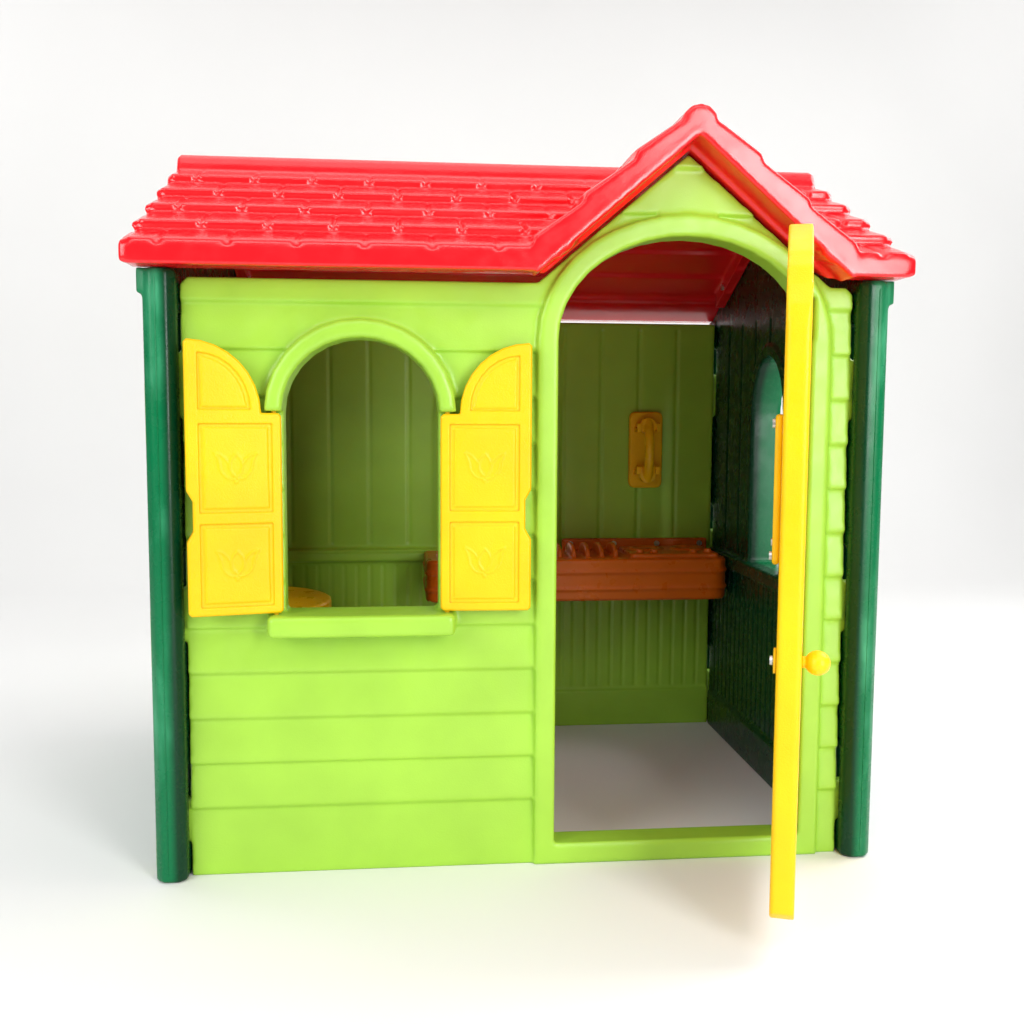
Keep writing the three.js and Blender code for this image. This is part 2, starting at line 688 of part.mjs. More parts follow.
function roofFront() {
  const { shell, toY } = roofHalf(1);
  const gable = extrude(gableSection(), "y", [EAVE_Y, MID_Y - GAP]);
  const shape = join(shell, cut(gable, ...gableGrooves()), ...gableFeet());
  const hollow = cut(
    shape,
    roofVoid(toY),
    gableVoid(SOFFIT_APEX + 10, [EAVE_Y - 10, -6]),
    gableVoid(SOFFIT_APEX, [-7, MID_Y + 10]),
  );
  return join(hollow, ...roofRibs(toY));
}

function roofBack() {
  const { shell, toY } = roofHalf(-1);
  return join(cut(shell, roofVoid(toY)), ...roofRibs(toY));
}

// ---------------------------------------------------------------- screws

// A pan-head screw. The head is at "at" and the shank runs from it in the given direction.
function screw(axis, at, place, direction, length) {
  const head = [at - direction * SCREW.headT, at];
  const shank = [at - direction, at + direction * length];
  return join(rod(SCREW.headR, axis, head, place, 12), rod(SCREW.shankR, axis, shank, place, 8));
}

function roofScrews() {
  const screws = [];
  for (const side of [-1, 1]) {
    roofScrewPlaces().forEach((place, i) => {
      const solid = screw("x", side * (ROOF_RIB.x0 - GAP), place, side, 45);
      screws.push(meshOf(`roof_screw_${side > 0 ? "right" : "left"}_${i + 1}`, solid, MATERIALS.steel));
    });
  }
  return screws;
}

function counterScrews() {
  return COUNTER_SCREWS_X.map((x, i) => {
    const solid = screw("y", COUNTER_FLANGE.front - GAP, [x, COUNTER_FLANGE.screwZ], 1, 45);
    return meshOf(`counter_screw_${i + 1}`, solid, MATERIALS.steel);
  });
}

// ---------------------------------------------------------------- door

// The door is built shut, with its outer face flush with the doorway's trim.
function doorOutline() {
  const half = GABLE_X - DOOR.free;
  const head = arc([GABLE_X, DOORWAY.spring], [half, DOOR.top - DOORWAY.spring], [0, 180], 18);
  const foot = [[DOOR.free, DOOR.bottom + 14], [DOOR.free + 14, DOOR.bottom]];
  return polygon([[GABLE_X + half, DOOR.bottom], ...head, ...foot]);
}

// Plan of the door: a half-round hinge edge about the pins and softened corners at the free edge.
function doorPlan() {
  const front = DOOR_TRIM.front;
  const back = front + DOOR.t;
  const soft = 6;
  const x = DOOR.free + soft;
  return polygon([
    ...arc([DOOR.axisX, DOOR_AXIS_Y], [DOOR.t / 2, DOOR.t / 2], [-90, 90], 10),
    ...arc([x, back - soft], [soft, soft], [90, 180], 2),
    ...arc([x, front + soft], [soft, soft], [180, 270], 2),
  ]);
}

const DOOR_MIDDLE = (DOOR.free + DOOR.axisX + DOOR.t / 2) / 2;
const KNOB_X = DOOR.axisX - KNOB.reach;
const DOOR_INNER = DOOR_TRIM.front + DOOR.t;

function frameScrewPlaces() {
  const x = DOOR_FRAME.half - 13;
  const z = [DOOR_FRAME.bottom + 14, DOOR_FRAME.top - 14];
  return [-x, x].flatMap((dx) => z.map((height) => [DOOR_MIDDLE + dx, height]));
}

// Recessed panels on both faces, below and above the door's window.
function doorPanels() {
  const depth = 4;
  const faces = [
    [DOOR_TRIM.front - 2, DOOR_TRIM.front + depth],
    [DOOR_INNER - depth, DOOR_INNER + 2],
  ];
  const left = DOOR_MIDDLE - 140;
  const right = DOOR_MIDDLE + 140;
  const head = arch(DOOR_MIDDLE, 140, 845, DOORWAY.spring - 20, DOOR.top - DOORWAY.spring - 28);
  return faces.flatMap((face) => [
    extrude(rectangle([left, right], [120, 310], 12), "y", face),
    extrude(rectangle([left, right], [345, 535], 12), "y", face),
    extrude(head, "y", face),
  ]);
}

function door() {
  const slab = extrude(doorOutline(), "y", [-30, 60]);
  const plan = extrude(doorPlan(), "z", [0, 1200]);
  const hinge = box([DOOR.axisX - 30, 520], [-30, 60], [998, 1200]);
  const windowX = [DOOR_MIDDLE - DOOR_WINDOW.half, DOOR_MIDDLE + DOOR_WINDOW.half];
  const windowZ = [DOOR_WINDOW.bottom, DOOR_WINDOW.top];
  const hole = extrude(rectangle(windowX, windowZ, 22), "y", [-40, 60]);
  const at = [DOOR.axisX, DOOR_AXIS_Y];
  const screws = frameScrewPlaces().map((place) =>
    rod(SCREW.shankR + GAP, "y", [DOOR_INNER - 24, DOOR_INNER + 5], place, 8),
  );
  return cut(
    slab.intersect(plan),
    hinge,
    hole,
    ...doorPanels(),
    rod(KNOB.shank + GAP, "y", [-40, 60], [KNOB_X, KNOB.z]),
    rod(DOOR_PIN_R + GAP, "z", [DOOR.bottom - 5, DOOR.bottom + 30], at, 16),
    rod(DOOR_PIN_R + GAP, "z", [950, 1010], at, 16),
    ...screws,
  );
}

function doorWindowFrame() {
  const back = DOOR_INNER + GAP;
  const face = back + DOOR_FRAME.proud;
  const outer = rectangle(
    [DOOR_MIDDLE - DOOR_FRAME.half, DOOR_MIDDLE + DOOR_FRAME.half],
    [DOOR_FRAME.bottom, DOOR_FRAME.top],
    16,
  );
  const inner = rectangle(
    [DOOR_MIDDLE - DOOR_WINDOW.half, DOOR_MIDDLE + DOOR_WINDOW.half],
    [DOOR_WINDOW.bottom, DOOR_WINDOW.top],
    22,
  );
  const through = [back - 5, face + 5];
  const screws = frameScrewPlaces().map((place) => rod(SCREW.shankR + GAP, "y", through, place, 8));
  return cut(extrude(outer, "y", [back, face], 2.5), extrude(inner, "y", through), ...screws);
}

// Ball and neck as a lathed profile along +Y, from the neck's flat foot to the ball's far pole.
function knobBall() {
  const centre = 22;
  const neck = 8;
  const neckAngle = THREE.MathUtils.radToDeg(Math.asin(neck / KNOB.r));
  const ball = arc([0, centre], [KNOB.r, KNOB.r], [neckAngle - 90, 90], 8);
  const profile = [[0, 0], [neck + 1, 0], ...ball.slice(0, -1), [0, centre + KNOB.r]];
  return new THREE.LatheGeometry(profile.map(([r, y]) => new THREE.Vector2(r, y)), 16);
}

function doorKnob() {
  const ball = knobBall().rotateX(Math.PI).translate(KNOB_X, DOOR_TRIM.front - GAP, KNOB.z);
  const shank = rod(KNOB.shank, "y", [DOOR_TRIM.front - 2, DOOR_INNER - 2], [KNOB_X, KNOB.z]);
  const hole = rod(SCREW.shankR + GAP, "y", [DOOR_INNER - 26, DOOR_INNER + 5], [KNOB_X, KNOB.z], 8);
  return cut(join(toSolid(ball), shank), hole);
}

function knobPlate() {
  const plate = rod(19, "y", [DOOR_INNER + GAP, DOOR_INNER + GAP + 4], [KNOB_X, KNOB.z], 20);
  return cut(plate, rod(SCREW.shankR + GAP, "y", [DOOR_INNER - 5, DOOR_INNER + 10], [KNOB_X, KNOB.z], 8));
}

function doorParts() {
  const at = [DOOR.axisX, DOOR_AXIS_Y];
  const frameFace = DOOR_INNER + GAP + DOOR_FRAME.proud;
  const parts = [
    meshOf("door", door(), MATERIALS.yellow),
    meshOf("door_window_frame", doorWindowFrame(), MATERIALS.yellow),
    meshOf("door_knob", doorKnob(), MATERIALS.yellow),
    meshOf("door_knob_plate", knobPlate(), MATERIALS.yellow),
    meshOf(
      "door_knob_screw",
      screw("y", DOOR_INNER + 5 + GAP, [KNOB_X, KNOB.z], -1, 26),
      MATERIALS.steel,
    ),
    meshOf("door_pin_lower", rod(DOOR_PIN_R, "z", [DOORWAY.bottom - 20, 88], at, 16), MATERIALS.yellow),
    meshOf("door_pin_upper", rod(DOOR_PIN_R, "z", [952, 1034], at, 16), MATERIALS.yellow),
  ];
  frameScrewPlaces().forEach((place, i) => {
    const solid = screw("y", frameFace + GAP, place, -1, 30);
    parts.push(meshOf(`door_frame_screw_${i + 1}`, solid, MATERIALS.steel));
  });
  return parts;
}

// ---------------------------------------------------------------- shutters

// Distances are measured from the hinge axis towards the shutter's free edge.
function shutterOutline() {
  const { bottom, step, top, hingeEdge, stepAt, free } = SHUTTER;
  const notch = { low: 585, high: 670, depth: 10 };
  const soft = 5;
  return [
    [hingeEdge, bottom + soft],
    [hingeEdge + soft, bottom],
    [free - soft, bottom],
    [free, bottom + soft],
    [free, notch.low],
    [free - notch.depth, notch.low + 18],
    [free - notch.depth, notch.high - 18],
    [free, notch.high],
    [free, top - soft],
    ...arc([free - soft, step], [free - soft - stepAt, top - step], [90, 180], 8),
    [hingeEdge + soft, step],
    [hingeEdge, step - soft],
  ];
}

// The recessed panels: a quarter-round one over two nearly square ones.
function shutterPanels() {
  const [near, far] = [4, 122];
  return [
    [[far, 802], ...arc([far, 802], [84, 93], [90, 180], 7)],
    [[near, 633], [far, 633], [far, 780], [near, 780]],
    [[near, 476], [far, 476], [far, 615], [near, 615]],
  ];
}

function facing(points, direction) {
  return polygon(points.map(([u, v]) => [direction * u, v]));
}

// One shutter in its shut position about an axis at the origin. Direction is +1 when the free edge
// points along +X.
function shutter(direction) {
  const half = SHUTTER.t / 2;
  const slab = extrude(facing(shutterOutline(), direction), "y", [-half, half], 3);
  const recess = 3.5;
  const faces = [[-half - 2, recess - half], [half - recess, half + 2]];
  const cuts = faces.flatMap((face) =>
    shutterPanels().map((points) => extrude(facing(points, direction), "y", face)),
  );
  const pinHoles = [[SHUTTER.bottom - 2, SHUTTER.bottom + 18], [SHUTTER.step - 18, SHUTTER.step + 2]];
  return cut(slab, ...cuts, ...pinHoles.map((span) => rod(SHUTTER_PIN_R + GAP, "z", span, [0, 0])));
}

function shutterGroup(name, side, openAngle) {
  const group = new THREE.Group();
  group.position.set(FRONT_WINDOW_X + side * SHUTTER_AXIS_OFFSET, SHUTTER_AXIS_Y, 0);
  group.rotation.z = side * THREE.MathUtils.degToRad(openAngle);
  group.add(meshOf(name, shutter(-side), MATERIALS.yellow));
  const lower = rod(SHUTTER_PIN_R, "z", [SILL.top - 13, SHUTTER.bottom + 16], [0, 0]);
  const upper = rod(SHUTTER_PIN_R, "z", [SHUTTER.step - 16, WINDOW.spring + 16], [0, 0]);
  group.add(meshOf(`${name}_pin_lower`, lower, MATERIALS.yellow));
  group.add(meshOf(`${name}_pin_upper`, upper, MATERIALS.yellow));
  return group;
}

// ---------------------------------------------------------------- play kitchen

function counterOutline() {
  const { x0, x1, y0, y1 } = COUNTER;
  const [left, right] = [22, 45];
  return polygon([
    [x0, y1],
    ...arc([x0 + left, y0 + left], [left, left], [180, 270], 3),
    ...arc([x1 - right, y0 + right], [right, right], [270, 360], 5),
    [x1, y1],
  ]);
}

// Upright arched ribs that hold toy plates on edge.
function dishRibs() {
  const { x, count, pitch, t, middle, half, rise } = DISH_RIBS;
  return Array.from({ length: count }, (_, i) => {
    const rib = arch(middle, half, COUNTER.top - 4, COUNTER.top + 6, rise, 7);
    return extrude(rib, "x", [x + pitch * i, x + pitch * i + t], 2);
  });
}

// A raised hob with two rings and a row of moulded control bumps.
function hob() {
  const plate = extrude(rectangle([330, 545], [662, 822], 14), "z", [COUNTER.top - 5, COUNTER.top + 10]);
  const rings = [385, 490].map((x) => {
    const ring = rod(42, "z", [COUNTER.top + 5, COUNTER.top + 15], [x, 757], 20);
    return cut(ring, rod(30, "z", [COUNTER.top + 11, COUNTER.top + 20], [x, 757], 20));
  });
  const bumps = [355, 390, 485, 520].map((x) =>
    rod(9, "z", [COUNTER.top + 5, COUNTER.top + 20], [x, 682], 10),
  );
  return [plate, ...rings, ...bumps];
}

// The upright lip that is screwed to the back wall, above the chair rail.
function counterFlange() {
  const { x, front, top } = COUNTER_FLANGE;
  const lip = box(x, [front, BACK_INNER - GAP], [RAIL.top + 1, top]);
  const foot = box(x, [front, COUNTER.y1], [COUNTER.top - 10, RAIL.top + 5]);
  return join(lip, foot);
}

function kitchenCounter() {
  const { x0, x1, y0, y1, bottom, top, skin } = COUNTER;
  const shell = extrude(counterOutline(), "z", [bottom, top], 5);
  const hollow = box([x0 + skin, x1 - 30], [y0 + skin, y1 - skin], [bottom - 5, top - 14]);
  const basin = extrude(
    rectangle([SINK.x0 - 6, SINK.x1 + 6], [SINK.y0 - 6, SINK.y1 + 6], 24),
    "z",
    [top - SINK.depth - 6, top - 5],
  );
  const bowlPlan = rectangle([SINK.x0, SINK.x1], [SINK.y0, SINK.y1], 20);
  const bowl = extrude(bowlPlan, "z", [top - SINK.depth, top + 5]);
  const screws = COUNTER_SCREWS_X.map((x) =>
    rod(SCREW.shankR + GAP, "y", [820, 860], [x, COUNTER_FLANGE.screwZ], 8),
  );
  const faucetHole = rod(FAUCET.r + GAP, "z", [top - 20, top + 5], [FAUCET.x, FAUCET.y], 16);
  const body = join(cut(shell, hollow), basin, counterFlange(), ...dishRibs(), ...hob());
  return cut(body, bowl, faucetHole, ...screws);
}

// A spout that turns on its upright stem.
function faucet() {
  const foot = COUNTER.top - 12;
  const bend = COUNTER.top + FAUCET.height - 30;
  const path = new THREE.CurvePath();
  const stemTop = new THREE.Vector3(0, 0, bend);
  path.add(new THREE.LineCurve3(new THREE.Vector3(0, 0, foot), stemTop));
  const over = new THREE.Vector3(0, 0, bend + 40);
  const middle = new THREE.Vector3(0, -FAUCET.reach / 2, bend + 34);
  const mouth = new THREE.Vector3(0, -FAUCET.reach, bend + 12);
  path.add(new THREE.QuadraticBezierCurve3(stemTop, over, middle));
  path.add(new THREE.LineCurve3(middle, mouth));
  const ring = polygon(arc([0, 0], [FAUCET.r, FAUCET.r], [0, 330], 11));
  const pipe = new THREE.ExtrudeGeometry(ring, { steps: 14, extrudePath: path });
  const collar = rod(13, "z", [COUNTER.top + GAP, COUNTER.top + 12], [0, 0], 16);
  return join(toSolid(pipe), collar);
}

function faucetPart() {
  const mesh = meshOf("faucet", faucet(), MATERIALS.yellow);
  mesh.position.set(FAUCET.x, FAUCET.y, 0);
  return mesh;
}

// ---------------------------------------------------------------- toy telephone

const CRADLE_FRONT = 832;

function phoneCradle() {
  const back = BACK_INNER - GAP;
  const plateX = [PHONE.x - 42, PHONE.x + 42];
  const plate = extrude(rectangle(plateX, [PHONE.bottom, PHONE.top], 14), "y", [CRADLE_FRONT, back], 3);
  const prongs = [PHONE.bottom + 42, PHONE.top - 42].map((z) => {
    const arm = box([PHONE.x - 30, PHONE.x + 30], [CRADLE_FRONT - 34, CRADLE_FRONT + 4], [z - 7, z + 3]);
    const lip = box([PHONE.x - 30, PHONE.x + 30], [CRADLE_FRONT - 34, CRADLE_FRONT - 28], [z - 7, z + 14]);
    return join(arm, lip);
  });
  const handleX = [PHONE.x - 18, PHONE.x + 18];
  const handleRoom = box(handleX, [780, CRADLE_FRONT - 1], [PHONE.bottom - 5, PHONE.top + 5]);
  const screws = CRADLE_SCREWS_Z.map((z) => rod(SCREW.shankR + GAP, "y", [820, 860], [PHONE.x, z], 8));
  return cut(join(plate, cut(join(...prongs), handleRoom)), ...screws);
}

// A curved handle with a round earpiece and mouthpiece. Pegs on the two cups rest on the cradle.
function phoneHandset() {
  const low = PHONE.bottom + 42;
  const high = PHONE.top - 42;
  const y = CRADLE_FRONT - 15;
  const bow = new THREE.CatmullRomCurve3([
    new THREE.Vector3(PHONE.x, y, low - 22),
    new THREE.Vector3(PHONE.x, y - 16, low + 8),
    new THREE.Vector3(PHONE.x, y - 26, (low + high) / 2),
    new THREE.Vector3(PHONE.x, y - 16, high - 8),
    new THREE.Vector3(PHONE.x, y, high + 22),
  ]);
  const grip = polygon(arc([0, 0], [12, 12], [0, 330], 11));
  const handle = toSolid(new THREE.ExtrudeGeometry(grip, { steps: 14, extrudePath: bow }));
  const pegs = [low, high].map((z) => rod(6, "x", [PHONE.x - 29, PHONE.x + 29], [y - 6, z + 9.5], 10));
  return join(handle, ...pegs);
}

function phoneParts() {
  const parts = [
    meshOf("phone_cradle", phoneCradle(), MATERIALS.yellow),
    meshOf("phone_handset", phoneHandset(), MATERIALS.orange),
  ];
  CRADLE_SCREWS_Z.forEach((z, i) => {
    const solid = screw("y", CRADLE_FRONT - GAP, [PHONE.x, z], 1, 42);
    parts.push(meshOf(`cradle_screw_${i + 1}`, solid, MATERIALS.steel));
  });
  return parts;
}

// ---------------------------------------------------------------- drop-leaf table

function tableFlap() {
  const { axisX, z, r, t } = TABLE;
  const plan = polygon(arc([axisX, MID_Y], [r, r], [-90, 90], 16));
  const leaf = extrude(plan, "z", [z - t / 2, z + t / 2], 4);
  const barrel = rod(t / 2, "y", [MID_Y - r, MID_Y + r], [axisX, z], 16);
  const holes = [-1, 1].map((side) =>
    rod(TABLE_PIN_R + GAP, "y", [MID_Y + side * (r - 22), MID_Y + side * (r + 2)], [axisX, z]),
  );
  return cut(join(leaf, barrel), ...holes);
}

function tablePins() {
  return tableEarsY().map(([a, b], i) => {
    const outward = i === 0 ? -1 : 1;
    const outerFace = i === 0 ? a : b;
    const head = [outerFace + outward * GAP, outerFace + outward * 5];
    const shank = [outerFace + outward * 1, outerFace - outward * (TABLE_EAR_T + 22)];
    const place = [TABLE.axisX, TABLE.z];
    const solid = join(rod(10, "y", head, place, 14), rod(TABLE_PIN_R, "y", shank, place));
    return meshOf(`table_pin_${i === 0 ? "front" : "back"}`, solid, MATERIALS.orange);
  });
}

// ---------------------------------------------------------------- assembly

const house = new THREE.Group();
house.name = "plastic_playhouse";

const doorGroup = new THREE.Group();
const doorHinge = new THREE.Vector3(DOOR.axisX, DOOR_AXIS_Y, 0);
doorGroup.add(...doorParts());
doorGroup.children.forEach((mesh) => mesh.geometry.translate(-doorHinge.x, -doorHinge.y, 0));
doorGroup.position.copy(doorHinge);
doorGroup.rotation.z = THREE.MathUtils.degToRad(DOOR.open);

house.add(
  meshOf("front_wall", frontWall(), MATERIALS.limeGreen),
  meshOf("back_wall", backWall(), MATERIALS.limeGreen),
  meshOf("left_wall", leftWall(), MATERIALS.darkGreen),
  meshOf("right_wall", sideWall(1), MATERIALS.darkGreen),
  meshOf("roof_front", roofFront(), MATERIALS.red),
  meshOf("roof_back", roofBack(), MATERIALS.red),
  ...roofScrews(),
  doorGroup,
  shutterGroup("shutter_left", -1, SHUTTER_OPEN_LEFT),
  shutterGroup("shutter_right", 1, SHUTTER_OPEN_RIGHT),
  meshOf("kitchen_counter", kitchenCounter(), MATERIALS.orange),
  ...counterScrews(),
  faucetPart(),
  ...phoneParts(),
  meshOf("table_flap", tableFlap(), MATERIALS.orange),
  ...tablePins(),
);

const bounds = new THREE.Box3().setFromObject(house, true);
house.position.y = -(bounds.min.y + bounds.max.y) / 2;

export default house;
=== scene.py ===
"""Looks of a child's moulded plastic playhouse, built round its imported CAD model.

Every large part is a soft-edged moulding: the CAD shape and some extra relief are melted into one skin,
smoothed, and given grooves. Metres, in the CAD model's frame. Lengths called "house" are measured from the
front wall's outer face in Y.
"""

import json
import math

import bmesh
import bpy
import numpy as np
from mathutils import Matrix, Vector


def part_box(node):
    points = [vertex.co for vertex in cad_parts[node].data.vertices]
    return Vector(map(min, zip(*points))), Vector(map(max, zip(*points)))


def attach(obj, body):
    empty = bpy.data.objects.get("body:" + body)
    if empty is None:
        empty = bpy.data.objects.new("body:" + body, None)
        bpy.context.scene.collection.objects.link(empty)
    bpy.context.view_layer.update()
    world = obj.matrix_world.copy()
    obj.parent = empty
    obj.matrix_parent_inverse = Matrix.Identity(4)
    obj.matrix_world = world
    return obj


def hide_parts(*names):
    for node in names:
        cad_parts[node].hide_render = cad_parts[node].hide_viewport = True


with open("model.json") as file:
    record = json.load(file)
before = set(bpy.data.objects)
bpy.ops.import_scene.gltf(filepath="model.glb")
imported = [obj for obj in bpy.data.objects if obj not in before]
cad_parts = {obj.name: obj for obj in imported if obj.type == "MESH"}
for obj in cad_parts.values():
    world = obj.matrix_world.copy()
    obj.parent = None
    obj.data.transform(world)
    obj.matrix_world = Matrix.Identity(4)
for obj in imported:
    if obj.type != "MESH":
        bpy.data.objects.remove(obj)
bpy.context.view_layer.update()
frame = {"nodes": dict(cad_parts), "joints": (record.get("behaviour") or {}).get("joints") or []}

# ---------------------------------------------------------------- dimensions taken from the frame

EAVE_FRONT_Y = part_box("roof_front")[0].y
EAVE_BACK_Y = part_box("roof_back")[1].y
MIDDLE_Y = (EAVE_FRONT_Y + EAVE_BACK_Y) / 2
HOUSE_DEPTH = 0.900
FRONT_Y = MIDDLE_Y - HOUSE_DEPTH / 2
BACK_INNER = 0.850
PANEL_INNER_X = 0.582
ROOF_HALF = 0.650
GABLE_X = 0.277

EAVE_Y = EAVE_FRONT_Y - FRONT_Y
EAVE_TOP = 1.067
EAVE_BOTTOM = 1.0315
ROOF_TAN = 0.4663
SOFFIT_END_Y = -0.010
ROWS = 5
ROW = 0.092
ROW_STEP = 0.017
SHINGLES_ACROSS = 12
SOFFIT_APEX = 1.246
GABLE_TAN = 0.854

GABLE_ROWS = 3
GABLE_ROW = 0.084
GABLE_STEP = 0.014
GABLE_ROW_START = 0.023
GABLE_OUTER_TAN = 0.842
GABLE_BUTT_LINE = 1.318

RAIL = (0.428, 0.459)
BASEBOARD_TOP = 0.090
WALL_TOP = 1.020
POST_SEAM_X = 0.6085
POST_SEAM_Y = 0.0322
POST_SEAM_R = 0.0009


def house(x, y, z):
    """A point given by its distance behind the front wall's outer face, in the frame."""
    return Vector((x, y + FRONT_Y, z))


def joint(name):
    return next(j for j in frame["joints"] if j["name"] == name)


def shut_to_rest(name, shut_degrees):
    """Turns a point of a shut leaf to where the leaf stands at rest."""
    pivot = Vector(joint(name)["pos_m"])
    turn = Matrix.Rotation(math.radians(-shut_degrees), 4, "Z")
    return Matrix.Translation(pivot) @ turn @ Matrix.Translation(-pivot)


# ---------------------------------------------------------------- materials


class Nodes:
    """Short calls for building one material's node tree."""

    def __init__(self, material):
        self.tree = material.node_tree
        self.shader = self.tree.nodes["Principled BSDF"]
        self.place = self.tree.nodes.new("ShaderNodeTexCoord").outputs["Object"]

    def link(self, source, target):
        self.tree.links.new(source, target)

    def noise(self, scale, detail=3.0, stretch=(1, 1, 1)):
        mapping = self.tree.nodes.new("ShaderNodeMapping")
        mapping.inputs["Scale"].default_value = stretch
        self.link(self.place, mapping.inputs["Vector"])
        node = self.tree.nodes.new("ShaderNodeTexNoise")
        node.inputs["Scale"].default_value = scale
        node.inputs["Detail"].default_value = detail
        self.link(mapping.outputs[0], node.inputs["Vector"])
        return node.outputs["Fac"]

    def spread(self, value, low, high, to_low, to_high):
        """Maps low..high to to_low..to_high, held at the ends."""
        node = self.tree.nodes.new("ShaderNodeMapRange")
        for name, number in (
            ("From Min", low),
            ("From Max", high),
            ("To Min", to_low),
            ("To Max", to_high),
        ):
            node.inputs[name].default_value = number
        self.link(value, node.inputs["Value"])
        return node.outputs["Result"]

    def multiply(self, a, b):
        node = self.tree.nodes.new("ShaderNodeMath")
        node.operation = "MULTIPLY"
        self.link(a, node.inputs[0])
        self.link(b, node.inputs[1])
        return node.outputs[0]

    def add(self, a, b):
        node = self.tree.nodes.new("ShaderNodeMath")
        node.operation = "ADD"
        self.link(a, node.inputs[0])
        self.link(b, node.inputs[1])
        return node.outputs[0]

    def mix(self, share, a, b):
        """Colour a where share is 0 and b where it is 1. Each may be a colour or a socket."""
        node = self.tree.nodes.new("ShaderNodeMix")
        node.data_type = "RGBA"
        self.link(share, node.inputs["Factor"])
        for value, socket in ((a, node.inputs[6]), (b, node.inputs[7])):
            if isinstance(value, bpy.types.NodeSocket):
                self.link(value, socket)
            else:
                socket.default_value = (*value, 1.0)
        return node.outputs[2]

    def outward(self, start, end):
        """0 up to start metres from the house's middle plane, 1 from end outwards."""
        split = self.tree.nodes.new("ShaderNodeSeparateXYZ")
        self.link(self.place, split.inputs[0])
        size = self.tree.nodes.new("ShaderNodeMath")
        size.operation = "ABSOLUTE"
        self.link(split.outputs["X"], size.inputs[0])
        return self.spread(size.outputs[0], start, end, 0.0, 1.0)

    def pointiness(self):
        return self.tree.nodes.new("ShaderNodeNewGeometry").outputs["Pointiness"]

    def bump(self, height, strength, distance, after=None):
        node = self.tree.nodes.new("ShaderNodeBump")
        node.inputs["Strength"].default_value = strength
        node.inputs["Distance"].default_value = distance
        self.link(height, node.inputs["Height"])
        if after is not None:
            self.link(after, node.inputs["Normal"])
        return node.outputs["Normal"]


def shade(colour, factor):
    return tuple(min(1.0, channel * factor) for channel in colour)


# How far out, in metres from the house's middle plane, a side wall's inside, darkened with painted shade,
# gives way to its rubbed outside look.
OUTSIDE_FACES = (0.592, 0.604)
INSIDE_SHADE = 0.25
RUBBED_GREEN = (0.13, 0.62, 0.34)


def moulded_plastic(name, colour, roughness=0.3, pebble=0.35, scuffs_and_inner_shade=0.0, gloss=0.5, groove_shade=None):
    """Moulded polythene: a soft sheen, slight mottling, fine pebbling, rubbed patches outside, and painted
    shade: side walls darkened on their inner faces, and hollows tinted with a darker groove colour where
    one is given.
    """
    material = bpy.data.materials.new(name)
    material.use_nodes = True
    n = Nodes(material)
    cloudy = n.spread(n.noise(7.0, 4.0), 0.3, 0.7, 0.0, 1.0)
    tint = n.mix(cloudy, shade(colour, 0.92), shade(colour, 1.06))
    # Painted shade: hollows and grooves, where pointiness is low, turn towards the darker groove colour.
    if groove_shade is not None:
        share = n.spread(n.pointiness(), 0.42, 0.488, 0.85, 0.0)
        tint = n.mix(share, tint, groove_shade)
    sheen = n.spread(n.noise(31.0, 5.0), 0.35, 0.65, roughness - 0.04, roughness + 0.07)
    if scuffs_and_inner_shade > 0:
        blotches = n.spread(n.noise(11.0, 6.0, (1.0, 1.0, 0.4)), 0.50, 0.70, 0.0, 1.0)
        streaks = n.spread(n.noise(55.0, 4.0, (1.0, 1.0, 0.12)), 0.40, 0.75, 0.2, 1.0)
        outside = n.outward(*OUTSIDE_FACES)
        rubbed = n.multiply(n.multiply(blotches, streaks), outside)
        share = n.spread(rubbed, 0.0, 1.0, 0.0, scuffs_and_inner_shade)
        # Painted shade: the side walls' inner faces take a quarter of the colour; the rubbed patches below
        # are wear.
        tint = n.mix(outside, shade(colour, INSIDE_SHADE), tint)
        tint = n.mix(share, tint, RUBBED_GREEN)
        sheen = n.add(sheen, n.spread(rubbed, 0.0, 1.0, 0.0, 0.16))
    n.link(tint, n.shader.inputs["Base Color"])
    n.link(sheen, n.shader.inputs["Roughness"])
    fine = n.bump(n.noise(420.0, 2.0), pebble, 0.0007)
    n.link(n.bump(n.noise(9.0, 2.0), 0.25, 0.004, fine), n.shader.inputs["Normal"])
    n.shader.inputs["Specular IOR Level"].default_value = gloss
    return material


def brushed_steel():
    material = bpy.data.materials.new("zinc_plated_steel")
    material.use_nodes = True
    n = Nodes(material)
    grain = n.noise(700.0, 3.0, (1.0, 1.0, 0.1))
    tint = n.mix(n.spread(grain, 0.3, 0.7, 0.0, 1.0), (0.52, 0.53, 0.55), (0.72, 0.72, 0.74))
    n.link(tint, n.shader.inputs["Base Color"])
    n.link(n.spread(grain, 0.3, 0.7, 0.25, 0.42), n.shader.inputs["Roughness"])
    n.link(n.bump(grain, 0.2, 0.0003), n.shader.inputs["Normal"])
    n.shader.inputs["Metallic"].default_value = 1.0
    return material


LIME = moulded_plastic("lime_plastic", (0.34, 0.62, 0.050), 0.34, 0.3, gloss=0.5)
# Dark green, with rubbed patches outside and painted shade on the side walls' inner faces.
DARK_GREEN = moulded_plastic("dark_green_plastic", (0.0004, 0.150, 0.050), 0.26, 0.3, 0.60, 0.26)
RED = moulded_plastic("red_plastic", (0.84, 0.006, 0.012), 0.17, 0.25, gloss=0.6)
# Yellow, with a darker orange painted shade in its grooves and hollows.
YELLOW = moulded_plastic(
    "yellow_plastic", (0.95, 0.54, 0.003), 0.34, 0.8, gloss=0.28, groove_shade=(0.88, 0.20, 0.001)
)
# The counter, table and handset are one orange plastic in two copies: the counter's darker, redder orange
# is painted shade, and the brighter, yellower amber of the table and handset is painted light.
ORANGE_PAINTED_SHADE = moulded_plastic("orange_painted_shade_plastic", (0.62, 0.115, 0.003), 0.30, 0.3, gloss=0.4)
AMBER_PAINTED_LIGHT = moulded_plastic("amber_painted_light_plastic", (1.0, 0.55, 0.004), 0.30, 0.3, gloss=0.4)
STEEL = brushed_steel()

# ---------------------------------------------------------------- relief shapes, as (points, faces)


